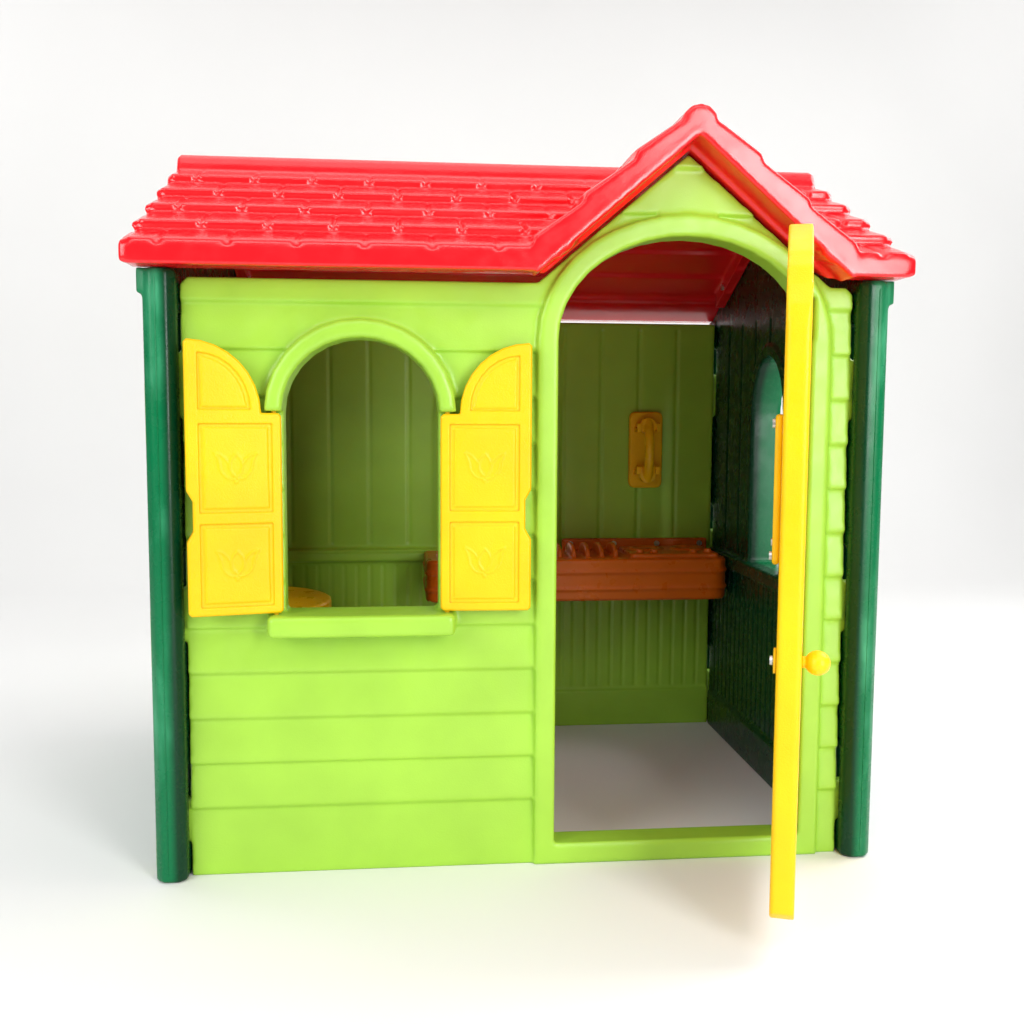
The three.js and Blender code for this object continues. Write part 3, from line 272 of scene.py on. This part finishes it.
def tube(points, radius, closed=False, sides=8):
    """A round bead along a line of points."""
    path = [Vector(p) for p in points]
    count = len(path)
    rings = []
    side = None
    for i, point in enumerate(path):
        before = path[i - 1] if closed or i > 0 else point
        after = path[(i + 1) % count] if closed or i < count - 1 else point
        along = (after - before).normalized()
        if side is None:
            side = along.orthogonal().normalized()
        side = (side - along * side.dot(along)).normalized()
        other = along.cross(side)
        for k in range(sides):
            turn = 2 * math.pi * k / sides
            rings.append(point + (side * math.cos(turn) + other * math.sin(turn)) * radius)
    faces = []
    for i in range(count if closed else count - 1):
        j = (i + 1) % count
        for k in range(sides):
            m = (k + 1) % sides
            faces.append((i * sides + k, i * sides + m, j * sides + m, j * sides + k))
    if not closed:
        faces.append(tuple(reversed(range(sides))))
        faces.append(tuple(range((count - 1) * sides, count * sides)))
    return rings, faces


def inset(outline, distance):
    """Moves a flat outline's points inwards along their average normals."""
    points = np.array(outline, float)
    forward = np.roll(points, -1, 0) - points
    forward /= np.maximum(np.linalg.norm(forward, axis=1, keepdims=True), 1e-9)
    inward = np.stack([-forward[:, 1], forward[:, 0]], 1)
    average = inward + np.roll(inward, 1, 0)
    average /= np.maximum(np.linalg.norm(average, axis=1, keepdims=True), 1e-9)
    return points + average * distance


def pad(outline, depth, edge, matrix, steps=3):
    """A plate with a rounded upper edge. Its top is at height 0 and its outline runs anticlockwise."""
    layers = [(0.0, -depth)]
    for i in range(steps + 1):
        turn = math.pi / 2 * i / steps
        layers.append((edge * (1 - math.cos(turn)), edge * (math.sin(turn) - 1)))
    points = []
    for distance, height in layers:
        points += [matrix @ Vector((u, v, height)) for u, v in inset(outline, distance)]
    count = len(outline)
    faces = [tuple(reversed(range(count)))]
    for layer in range(len(layers) - 1):
        for i in range(count):
            j = (i + 1) % count
            low, high = layer * count, (layer + 1) * count
            faces.append((low + i, low + j, high + j, high + i))
    faces.append(tuple(range((len(layers) - 1) * count, len(layers) * count)))
    return points, faces


def arc(centre, radii, degrees, steps):
    turns = np.radians(np.linspace(*degrees, steps + 1))
    return [(centre[0] + radii[0] * math.cos(t), centre[1] + radii[1] * math.sin(t)) for t in turns]


def rounded(u, v, corner, steps=4):
    """Outline of a rectangle u[0]..u[1] by v[0]..v[1] with round corners, anticlockwise."""
    r = (corner, corner)
    return [
        *arc((u[1] - corner, v[0] + corner), r, (-90, 0), steps),
        *arc((u[1] - corner, v[1] - corner), r, (0, 90), steps),
        *arc((u[0] + corner, v[1] - corner), r, (90, 180), steps),
        *arc((u[0] + corner, v[0] + corner), r, (180, 270), steps),
    ]


def trimmed(shape, point, normal):
    """The part of a closed shape on the normal's side of a plane, closed again. None if nothing is left."""
    points, faces = shape
    distances = [(p - point).dot(normal) for p in points]
    if min(distances) >= 0:
        return shape
    if max(distances) <= 0:
        return None
    bm = bmesh.new()
    corners = [bm.verts.new(p) for p in points]
    for face in faces:
        bm.faces.new([corners[i] for i in face])
    everything = [*bm.verts, *bm.edges, *bm.faces]
    made = bmesh.ops.bisect_plane(
        bm, geom=everything, plane_co=point, plane_no=normal, clear_inner=True
    )
    edges = [g for g in made["geom_cut"] if isinstance(g, bmesh.types.BMEdge)]
    bmesh.ops.contextual_create(bm, geom=edges)
    bm.verts.index_update()
    left = [v.co.copy() for v in bm.verts], [tuple(v.index for v in f.verts) for f in bm.faces]
    bm.free()
    return left


# ---------------------------------------------------------------- mouldings


def add_shape(bm, shape):
    points, faces = shape
    corners = [bm.verts.new(p) for p in points]
    for face in faces:
        bm.faces.new([corners[i] for i in face])


def evaluated_mesh(piece):
    graph = bpy.context.evaluated_depsgraph_get()
    return bpy.data.meshes.new_from_object(piece.evaluated_get(graph), depsgraph=graph)


def settle(piece):
    """Applies a piece's modifiers to its mesh."""
    mesh = evaluated_mesh(piece)
    piece.modifiers.clear()
    piece.data = mesh


def skin(piece, cell, rounds):
    """Melts all of a piece's closed shapes into one skin and softens its edges."""
    melt = piece.modifiers.new("melt", "REMESH")
    melt.mode = "VOXEL"
    melt.voxel_size = cell * 1.0
    soften = piece.modifiers.new("soften", "SMOOTH")
    soften.factor = 0.5
    soften.iterations = rounds
    settle(piece)


def thin_out(piece, most_faces):
    """Merges faces where the skin is flat, down to a number of triangles."""
    triangles = 2 * len(piece.data.polygons)
    if triangles > most_faces:
        fewer = piece.modifiers.new("thin", "DECIMATE")
        fewer.ratio = most_faces / triangles
        settle(piece)


def press_in(piece, depth_at):
    """Moves each point inwards along its normal by depth_at(points, normals)."""
    mesh = piece.data
    count = len(mesh.vertices)
    points = np.empty(count * 3, np.float32)
    normals = np.empty(count * 3, np.float32)
    mesh.vertices.foreach_get("co", points)
    mesh.vertices.foreach_get("normal", normals)
    points, normals = points.reshape(-1, 3), normals.reshape(-1, 3)
    moved = points - normals * depth_at(points, normals)[:, None]
    mesh.vertices.foreach_set("co", moved.astype(np.float32).ravel())
    mesh.update()


MOST_FACES = 190_000


def round_more(piece, share_at, rounds=14):
    """Rounds a piece's edges further, by a share that share_at(points) gives."""
    mesh = piece.data
    points = np.empty(len(mesh.vertices) * 3, np.float32)
    mesh.vertices.foreach_get("co", points)
    shares = share_at(points.reshape(-1, 3))
    group = piece.vertex_groups.new(name="share")
    for level in range(1, 5):
        chosen = np.nonzero(np.round(shares * 4).astype(int) == level)[0]
        group.add(chosen.tolist(), level / 4, "REPLACE")
    soften = piece.modifiers.new("round", "SMOOTH")
    soften.factor = 0.5
    soften.iterations = rounds
    soften.vertex_group = group.name
    settle(piece)


def moulding(
    node, body, material, relief=(), cell=0.004, rounds=5, depth_at=None, extra_rounding=None
):
    """The soft-edged piece that stands for one CAD node."""
    bm = bmesh.new()
    bm.from_mesh(frame["nodes"][node].data)
    for shape in relief:
        if shape is not None:
            add_shape(bm, shape)
    mesh = bpy.data.meshes.new(node + "_moulded")
    bm.to_mesh(mesh)
    bm.free()
    piece = bpy.data.objects.new(node + "_moulded", mesh)
    bpy.context.scene.collection.objects.link(piece)
    skin(piece, cell, rounds)
    if extra_rounding is not None:
        round_more(piece, extra_rounding)
    if depth_at is not None:
        press_in(piece, depth_at)
    thin_out(piece, MOST_FACES)
    piece.data.materials.clear()
    piece.data.materials.append(material)
    for polygon in piece.data.polygons:
        polygon.use_smooth = True
    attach(piece, body)
    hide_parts(node)
    return piece


def line_depth(position, lines, half_width, depth):
    """Depth of soft grooves at the given positions along one direction."""
    nearest = np.min(np.abs(position[:, None] - np.array(lines)[None, :]), axis=1)
    return depth * np.exp(-((nearest / half_width) ** 2))


def lines_between(low, high, count):
    return list(np.linspace(low, high, count + 1)[1:-1])


# ---------------------------------------------------------------- roof


def butt_line(y):
    return EAVE_TOP + (y - EAVE_Y) * ROOF_TAN


def row_edges(row):
    """Where one row's shingles begin and end, across the house."""
    pitch = 2 * ROOF_HALF / SHINGLES_ACROSS
    shift = pitch / 2 if row % 2 == 0 else 0.0
    edges = [shift - ROOF_HALF + pitch * i for i in range(SHINGLES_ACROSS + 1)]
    inside = [x for x in edges if abs(x) < ROOF_HALF - 0.01]
    return [0.004 - ROOF_HALF, *inside, ROOF_HALF - 0.004]


SHINGLE_GAP = 0.0055
SHINGLE_PROUD = 0.0025
RIDGE_TOP = 1.309
RIDGE_ROLL_R = 0.020


def slope_shingles(mirrored):
    """Round-cornered shingles of one half of the roof, each a little proud of the row under it."""
    tilt = math.atan((ROW * ROOF_TAN - ROW_STEP) / ROW)
    length = ROW / math.cos(tilt) + 0.004
    flip = Matrix.Translation((0, 2 * MIDDLE_Y, 0)) @ Matrix.Scale(-1, 4, (0, 1, 0))
    shapes = []
    for row in range(ROWS):
        y = EAVE_Y + ROW * row
        overhang = 0.0 if row == 0 else 0.005
        edges = row_edges(row)
        for left, right in zip(edges, edges[1:]):
            half = (right - left - SHINGLE_GAP) / 2
            outline = rounded((-half, half), (-overhang, length), 0.008)
            lift = 0.002 + SHINGLE_PROUD
            place = Matrix.Translation(house((left + right) / 2, y, butt_line(y) + lift))
            place = place @ Matrix.Rotation(tilt, 4, "X")
            shape = pad(outline, 0.021, 0.0038, flip @ place if mirrored else place)
            shapes.append(shape)
    return shapes


def clear_of_gable(shapes):
    """Cuts shingles back to the roof's outside where the front gable opens into the loft."""
    apex = house(GABLE_X, 0, SOFFIT_APEX + 0.004)
    kept = []
    for shape in shapes:
        middle = sum((p.x for p in shape[0])) / len(shape[0])
        side = 1 if middle > GABLE_X else -1
        normal = Vector((side * GABLE_TAN, 0, 1)).normalized()
        kept.append(trimmed(shape, apex, normal))
    return kept


def gable_shingles():
    """Shingles on both slopes of the front gable, cut off at the main roof's underside."""
    rise = (GABLE_ROW * GABLE_OUTER_TAN - GABLE_STEP) / GABLE_ROW
    tilt = math.atan(rise)
    length = GABLE_ROW / math.cos(tilt) + 0.003
    soffit = house(0, SOFFIT_END_Y, EAVE_BOTTOM + 0.006)
    above = Vector((0, -ROOF_TAN, 1)).normalized()
    shapes = []
    for side in (-1, 1):
        for row in range(1, GABLE_ROWS + 1):
            dx = GABLE_ROW_START + GABLE_ROW * row
            z = GABLE_BUTT_LINE - dx * GABLE_OUTER_TAN
            start = 0.010 if row % 2 == 0 else 0.060
            edges = [EAVE_Y + 0.004, *np.arange(start, HOUSE_DEPTH / 2 - 0.02, 0.100)]
            edges.append(HOUSE_DEPTH / 2 - 0.004)
            for low, high in zip(edges, edges[1:]):
                half = (high - low - SHINGLE_GAP) / 2
                outline = rounded((-0.004, length), (-half, half), 0.012)
                place = Matrix.Translation(house(GABLE_X + side * dx, (low + high) / 2, z + 0.002))
                place = place @ Matrix.Rotation(side * tilt, 4, "Y")
                if side > 0:
                    place = place @ Matrix.Rotation(math.pi, 4, "Z")
                shapes.append(trimmed(pad(outline, 0.018, 0.005, place), soffit, above))
    return shapes


def gable_lip():
    """The thin raised line along the lower edge of the gable's two rake boards."""
    y = EAVE_Y + 0.0015
    half_run = 0.250
    shapes = []
    for side in (-1, 1):
        ends = [house(GABLE_X + side * dx, y, SOFFIT_APEX + 0.019 - dx * 0.854) for dx in (0.0, half_run)]
        shapes.append(tube(ends, 0.0028))
    return shapes


def ridge_roll():
    """The round capping along the main ridge."""
    ends = (0.008 - ROOF_HALF, ROOF_HALF - 0.008)
    z = RIDGE_TOP - RIDGE_ROLL_R + 0.001
    return [tube([house(x, HOUSE_DEPTH / 2 - 0.004, z) for x in ends], RIDGE_ROLL_R, sides=20)]


def eave_lip(y, x_from, x_to):
    return tube([house(x_from, y, EAVE_BOTTOM + 0.003), house(x_to, y, EAVE_BOTTOM + 0.003)], 0.004)


def soffit_steps(points, normals):
    """Shallow steps on the roof's underside, which follow the rows above it."""
    under = np.clip((-normals[:, 2] - 0.6) * 5, 0, 1)
    inside = np.abs(points[:, 1] - MIDDLE_Y) < HOUSE_DEPTH / 2 - 0.06
    phase = (np.abs(points[:, 1] - MIDDLE_Y) / ROW) % 1.0
    return under * inside * 0.006 * np.clip(phase * 1.25, 0, 1) * np.clip((1 - phase) * 12, 0, 1)


def fat_front_edges(points):
    """Share of extra rounding: whole on the front fascia and rake boards, none further back."""
    behind = points[:, 1] - EAVE_FRONT_Y
    return np.clip((0.040 - behind) / 0.020, 0.0, 1.0)


def make_roof():
    front = [*clear_of_gable(slope_shingles(False)), *gable_shingles(), *gable_lip(), *ridge_roll()]
    lips = [
        eave_lip(EAVE_Y + 0.003, -ROOF_HALF + 0.01, 0.0),
        eave_lip(EAVE_Y + 0.003, GABLE_X + 0.28, ROOF_HALF - 0.01),
    ]
    moulding(
        "roof_front", "house", RED, [*front, *lips], 0.0031, 2, soffit_steps, fat_front_edges
    )
    moulding("roof_back", "house", RED, slope_shingles(True), 0.0031, 2, soffit_steps)


# ---------------------------------------------------------------- walls


def plank_grooves(across, z, facing, edges, planks):
    """Wide planks above the chair rail and narrow beading below it, on a wall's inner face."""
    wide = lines_between(edges[0], edges[1], planks)
    narrow = lines_between(edges[0], edges[1], planks * 3)
    above = (z > RAIL[1] + 0.012) & (z < WALL_TOP - 0.015)
    below = (z > BASEBOARD_TOP + 0.010) & (z < RAIL[0] - 0.010)
    depth = above * line_depth(across, wide, 0.0035, 0.0035)
    depth += below * line_depth(across, narrow, 0.003, 0.0025)
    return facing * depth


def back_wall_depth(points, normals):
    facing = (normals[:, 1] < -0.9) & (np.abs(points[:, 1] - FRONT_Y - BACK_INNER) < 0.004)
    return plank_grooves(points[:, 0], points[:, 2], facing, (-0.576, 0.576), 12)


def side_wall_depth(points, normals):
    towards = -np.sign(points[:, 0]) * normals[:, 0]
    facing = (towards > 0.9) & (np.abs(np.abs(points[:, 0]) - PANEL_INNER_X) < 0.004)
    inside = (points[:, 1] > FRONT_Y + 0.055) & (points[:, 1] < FRONT_Y + 0.845)
    edges = (FRONT_Y + 0.060, FRONT_Y + 0.840)
    return plank_grooves(points[:, 1], points[:, 2], facing & inside, edges, 8)


def rail_beads_back():
    y = BACK_INNER - 0.012
    ends = (-0.560, 0.560)
    heights = ((0.433, 0.004), (0.4435, 0.003), (0.455, 0.004))
    return [tube([house(x, y, z) for x in ends], r) for z, r in heights]


def rail_beads_side(side):
    x = side * (PANEL_INNER_X - 0.014)
    ends = (0.062, 0.830)
    heights = ((0.433, 0.004), (0.4435, 0.003), (0.455, 0.004))
    return [tube([house(x, y, z) for y in ends], r) for z, r in heights]


def post_seams():
    """The fine raised line that the mould leaves down the middle of each corner post."""
    for side in (-1, 1):
        for name, y in (("front", -POST_SEAM_Y), ("back", HOUSE_DEPTH + POST_SEAM_Y)):
            line = [house(side * POST_SEAM_X, y, z) for z in np.linspace(0.015, 1.015, 30)]
            points, faces = tube(line, POST_SEAM_R, sides=6)
            mesh = bpy.data.meshes.new("post_seam")
            mesh.from_pydata(points, [], faces)
            label = f"post_seam_{name}_{'right' if side > 0 else 'left'}"
            piece = bpy.data.objects.new(label, mesh)
            bpy.context.scene.collection.objects.link(piece)
            mesh.materials.append(DARK_GREEN)
            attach(piece, "house")


def make_walls():
    moulding("front_wall", "house", LIME, [], 0.0038, 4)
    moulding(
        "back_wall", "house", LIME, rail_beads_back(), 0.0038, 4, back_wall_depth
    )
    for name, side in (("left_wall", -1), ("right_wall", 1)):
        beads = rail_beads_side(side)
        moulding(name, "house", DARK_GREEN, beads, 0.0038, 4, side_wall_depth)
    post_seams()


# ---------------------------------------------------------------- door


def bead_round(outline, distance, height, radius, to_frame):
    """A thin raised line that follows a panel's outline at a distance inside it."""
    line = [to_frame(u, v, height) for u, v in inset(outline, distance)]
    return tube(line, radius, closed=True)


def door_relief():
    """Raised lines in the panels of both faces of the shut door, turned to where it stands open."""
    turn = shut_to_rest("door_hinge", joint("door_hinge")["range_deg"][0])
    middle = 0.2775
    across = (middle - 0.140, middle + 0.140)
    head = [(across[0], 0.845), (across[1], 0.845), *arc((middle, 0.905), (0.140, 0.140), (0, 180), 24)]
    panels = [rounded(across, (0.120, 0.310), 0.012), rounded(across, (0.345, 0.535), 0.012), head]
    shapes = []
    for y in (-0.0065, 0.0225):
        for panel in panels:
            shapes.append(
                bead_round(panel, 0.012, y, 0.0035, lambda u, v, w: turn @ house(u, w, v))
            )
    return shapes


def make_door():
    moulding("door", "door", YELLOW, door_relief(), 0.0028, 4)
    moulding("door_window_frame", "door", YELLOW, [], 0.0018, 3)
    moulding("door_knob", "door", YELLOW, [], 0.0013, 4)
    moulding("door_knob_plate", "door", YELLOW, [], 0.0011, 2)


# ---------------------------------------------------------------- shutters

SHUTTER_HALF_T = 0.0125
SHUTTER_RECESS = 0.0035


TULIP_PETAL = ((0, -19), (8, -10), (10.5, 0), (7, 11), (0, 20))
TULIP_SIDE = ((2, -22), (14, -20), (24, -9), (27, 4), (30, 14), (34, 21), (25, 18), (17, 11), (11.5, 3))
TULIP_LINE_R = 0.0015


def smooth_line(points, steps=5):
    """A Catmull-Rom curve through points given in millimetres, returned in metres."""
    ends = [points[0], *points, points[-1]]
    line = []
    for a, b, c, d in zip(ends, ends[1:], ends[2:], ends[3:]):
        for i in range(steps):
            t = i / steps
            line.append(
                tuple(
                    0.0005
                    * (
                        2 * q
                        + (r - p) * t
                        + (2 * p - 5 * q + 4 * r - w) * t**2
                        + (3 * q - p - 3 * r + w) * t**3
                    )
                    for p, q, r, w in zip(a, b, c, d)
                )
            )
    line.append((points[-1][0] / 1000, points[-1][1] / 1000))
    return line


def tulip(place):
    """Raised outline of a plain three-petal tulip, 68 mm wide, with a small bead under it."""
    shapes = []
    for side in (-1, 1):
        for line in (TULIP_PETAL, TULIP_SIDE):
            curve = smooth_line([(side * u, v) for u, v in line])
            shapes.append(tube([place @ Vector((u, v, 0.0)) for u, v in curve], TULIP_LINE_R, sides=6))
    bead = arc((0.0, -0.0265), (0.0032, 0.0032), (0, 330), 11)
    shapes.append(pad(bead, 0.004, 0.0015, place @ Matrix.Translation((0, 0, 0.0018))))
    return shapes


PANEL_FIELD_INSET = 0.0075
PANEL_FIELD_HEIGHT = 0.0022


def face_basis(out):
    """Axes of an upright face: across it, up it, and out of it."""
    up = Vector((0, 0, 1))
    return Matrix((up.cross(out), up, out)).transposed().to_4x4()


def raised_field(panel, place):
    """The raised middle of a panel, as a plate whose top lies on the face at place."""
    flat = [tuple((place.inverted() @ point).xy) for point in panel]
    area = sum(a[0] * b[1] - b[0] * a[1] for a, b in zip(flat, flat[1:] + flat[:1]))
    return pad(flat if area > 0 else flat[::-1], 0.006, 0.0018, place)


def shutter_relief(name, direction, shut_degrees):
    """Raised fields and tulips in the panels of both faces. Direction points from hinge to free edge."""
    turn = shut_to_rest(name + "_hinge", shut_degrees)
    axis = Vector(joint(name + "_hinge")["pos_m"])
    quarter = [(0.122, 0.802), *arc((0.122, 0.802), (0.084, 0.093), (90, 180), 10)]
    squares = [(0.004, 0.122, 0.633, 0.780), (0.004, 0.122, 0.476, 0.615)]
    panels = [quarter] + [rounded(s[:2], s[2:], 0.006, 2) for s in squares]

    def to_frame(u, v, w):
        return turn @ Vector((axis.x + direction * u, axis.y + w, v))

    shapes = []
    floor = SHUTTER_HALF_T - SHUTTER_RECESS
    for face in (-1, 1):
        out = (turn.to_3x3() @ Vector((0, face, 0))).normalized()
        basis = face_basis(out)
        field = face * (floor + PANEL_FIELD_HEIGHT)
        for panel in panels:
            points = [to_frame(u, v, field) for u, v in inset(panel, PANEL_FIELD_INSET)]
            shapes.append(raised_field(points, Matrix.Translation(points[0]) @ basis))
        for u0, u1, v0, v1 in squares:
            centre = to_frame((u0 + u1) / 2, (v0 + v1) / 2 + 0.004, field)
            shapes += tulip(Matrix.Translation(centre) @ basis)
    return shapes


def make_shutters():
    for name, direction, limit in (("shutter_left", 1, 1), ("shutter_right", -1, 0)):
        shut = joint(name + "_hinge")["range_deg"][limit]
        relief = shutter_relief(name, direction, shut)
        moulding(name, name, YELLOW, relief, 0.0013, 2)


# ---------------------------------------------------------------- kitchen, telephone and table


def counter_bands():
    """Two raised bands round the front and the free corners of the counter."""
    low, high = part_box("kitchen_counter")
    x0, x1, y0 = low.x, high.x, low.y
    path = [(x0, high.y - 0.02), *arc((x0 + 0.022, y0 + 0.022), (0.022, 0.022), (180, 270), 4)]
    path += [*arc((x1 - 0.045, y0 + 0.045), (0.045, 0.045), (270, 360), 6), (x1, high.y - 0.02)]
    return [tube([Vector((x, y, z)) for x, y in path], 0.0045) for z in (0.385, 0.425)]


def handset_cups():
    """Round ear and mouth pieces at the ends of the handset's grip."""
    low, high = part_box("phone_handset")
    x = (low.x + high.x) / 2
    shapes = []
    for z in (low.z + 0.020, high.z - 0.020):
        disc = arc((0, 0), (0.021, 0.021), (0, 345), 23)
        facing = Matrix.Rotation(math.radians(-90), 4, "X")
        shapes.append(pad(disc, 0.020, 0.006, Matrix.Translation((x, high.y - 0.002, z)) @ facing))
    return shapes


def make_kitchen():
    moulding("kitchen_counter", "house", ORANGE_PAINTED_SHADE, counter_bands(), 0.0026, 4)
    moulding("faucet", "faucet", YELLOW, [], 0.0016, 4)
    moulding("phone_cradle", "house", YELLOW, [], 0.0016, 3)
    moulding("phone_handset", "handset", AMBER_PAINTED_LIGHT, handset_cups(), 0.0016, 4)
    moulding("table_flap", "table", AMBER_PAINTED_LIGHT, [], 0.0026, 4)


def finish_hardware():
    """Screws and pins keep their CAD shapes and take their materials here."""
    for name, node in frame["nodes"].items():
        if "_screw" in name:
            material = STEEL
        elif "table_pin" in name:
            material = AMBER_PAINTED_LIGHT
        elif "_pin_" in name:
            material = YELLOW
        else:
            continue
        node.data.materials.clear()
        node.data.materials.append(material)
        for polygon in node.data.polygons:
            polygon.use_smooth = False


# ---------------------------------------------------------------- camera, floor and lights

LENS = 38.67
CAMERA_AT = (-0.2196, -1.8792 + FRONT_Y, 0.8061)
CAMERA_YAW = 5.95
CAMERA_PITCH = -5.36
CAMERA_ROLL = 0.32


def make_camera():
    data = bpy.data.cameras.new("camera")
    data.lens = LENS
    data.sensor_width = 36.0
    camera = bpy.data.objects.new("camera", data)
    bpy.context.scene.collection.objects.link(camera)
    turn = Matrix.Rotation(math.radians(-CAMERA_YAW), 4, "Z")
    tilt = Matrix.Rotation(math.radians(90 + CAMERA_PITCH), 4, "X")
    roll = Matrix.Rotation(math.radians(CAMERA_ROLL), 4, "Z")
    camera.matrix_world = Matrix.Translation(CAMERA_AT) @ turn @ tilt @ roll
    bpy.context.scene.camera = camera


def make_backdrop():
    """A pale floor that curves up into a wall behind the house."""
    half_width, front, back, radius, height = 9.0, -7.0, 2.6, 1.2, 6.0
    profile = [(front, 0.0), (back, 0.0)]
    for i in range(1, 13):
        turn = math.pi / 2 * i / 12
        profile.append((back + radius * math.sin(turn), radius * (1 - math.cos(turn))))
    profile.append((back + radius, height))
    points = [(x, y, z) for y, z in profile for x in (-half_width, half_width)]
    faces = [(2 * i, 2 * i + 1, 2 * i + 3, 2 * i + 2) for i in range(len(profile) - 1)]
    mesh = bpy.data.meshes.new("backdrop")
    mesh.from_pydata(points, [], faces)
    for polygon in mesh.polygons:
        polygon.use_smooth = True
    backdrop = bpy.data.objects.new("backdrop", mesh)
    bpy.context.scene.collection.objects.link(backdrop)
    material = bpy.data.materials.new("paper")
    material.use_nodes = True
    n = Nodes(material)
    soft = n.spread(n.noise(0.8, 2.0), 0.3, 0.7, 0.0, 1.0)
    n.link(n.mix(soft, (0.80, 0.795, 0.785), (0.83, 0.825, 0.815)), n.shader.inputs["Base Color"])
    n.shader.inputs["Roughness"].default_value = 0.85
    mesh.materials.append(material)


def area_light(name, at, aim, size, power, colour=(1, 1, 1)):
    data = bpy.data.lights.new(name, "AREA")
    data.shape = "RECTANGLE"
    data.size, data.size_y = size
    data.energy = power
    data.color = colour
    light = bpy.data.objects.new(name, data)
    bpy.context.scene.collection.objects.link(light)
    light.location = at
    light.rotation_euler = (Vector(aim) - Vector(at)).to_track_quat("-Z", "Y").to_euler()


def make_lights():
    world = bpy.data.worlds.new("studio")
    bpy.context.scene.world = world
    world.use_nodes = True
    background = world.node_tree.nodes["Background"]
    background.inputs["Color"].default_value = (0.95, 0.97, 1.0, 1.0)
    background.inputs["Strength"].default_value = 0.20
    area_light("softbox_front", (1.45, -3.2, 1.35), (0.4, 0.0, 0.8), (1.0, 1.9), 76)
    area_light("softbox_right", (2.6, 0.0, 2.9), (0.5, -0.2, 1.0), (1.6, 2.2), 75)
    area_light("softbox_left", (-3.0, -2.8, 2.2), (-0.2, 0.0, 0.6), (2.0, 2.0), 80)
    area_light("overhead", (-0.2, 0.3, 3.9), (-0.2, 0.3, 0.0), (3.5, 3.0), 60)
    area_light("floor_light", (0.0, -3.2, 3.6), (0.0, -2.6, 0.0), (4.0, 1.2), 60)
    area_light("backdrop_left", (-3.6, 1.6, 3.2), (-1.2, 3.8, 0.8), (2.0, 2.0), 42)
    area_light("backdrop_right", (3.6, 1.6, 3.2), (1.2, 3.8, 0.8), (2.0, 2.0), 42)
    bpy.context.scene.view_settings.view_transform = "Standard"


make_camera()
make_backdrop()
make_lights()
make_roof()
make_walls()
make_door()
make_shutters()
make_kitchen()
finish_hardware()
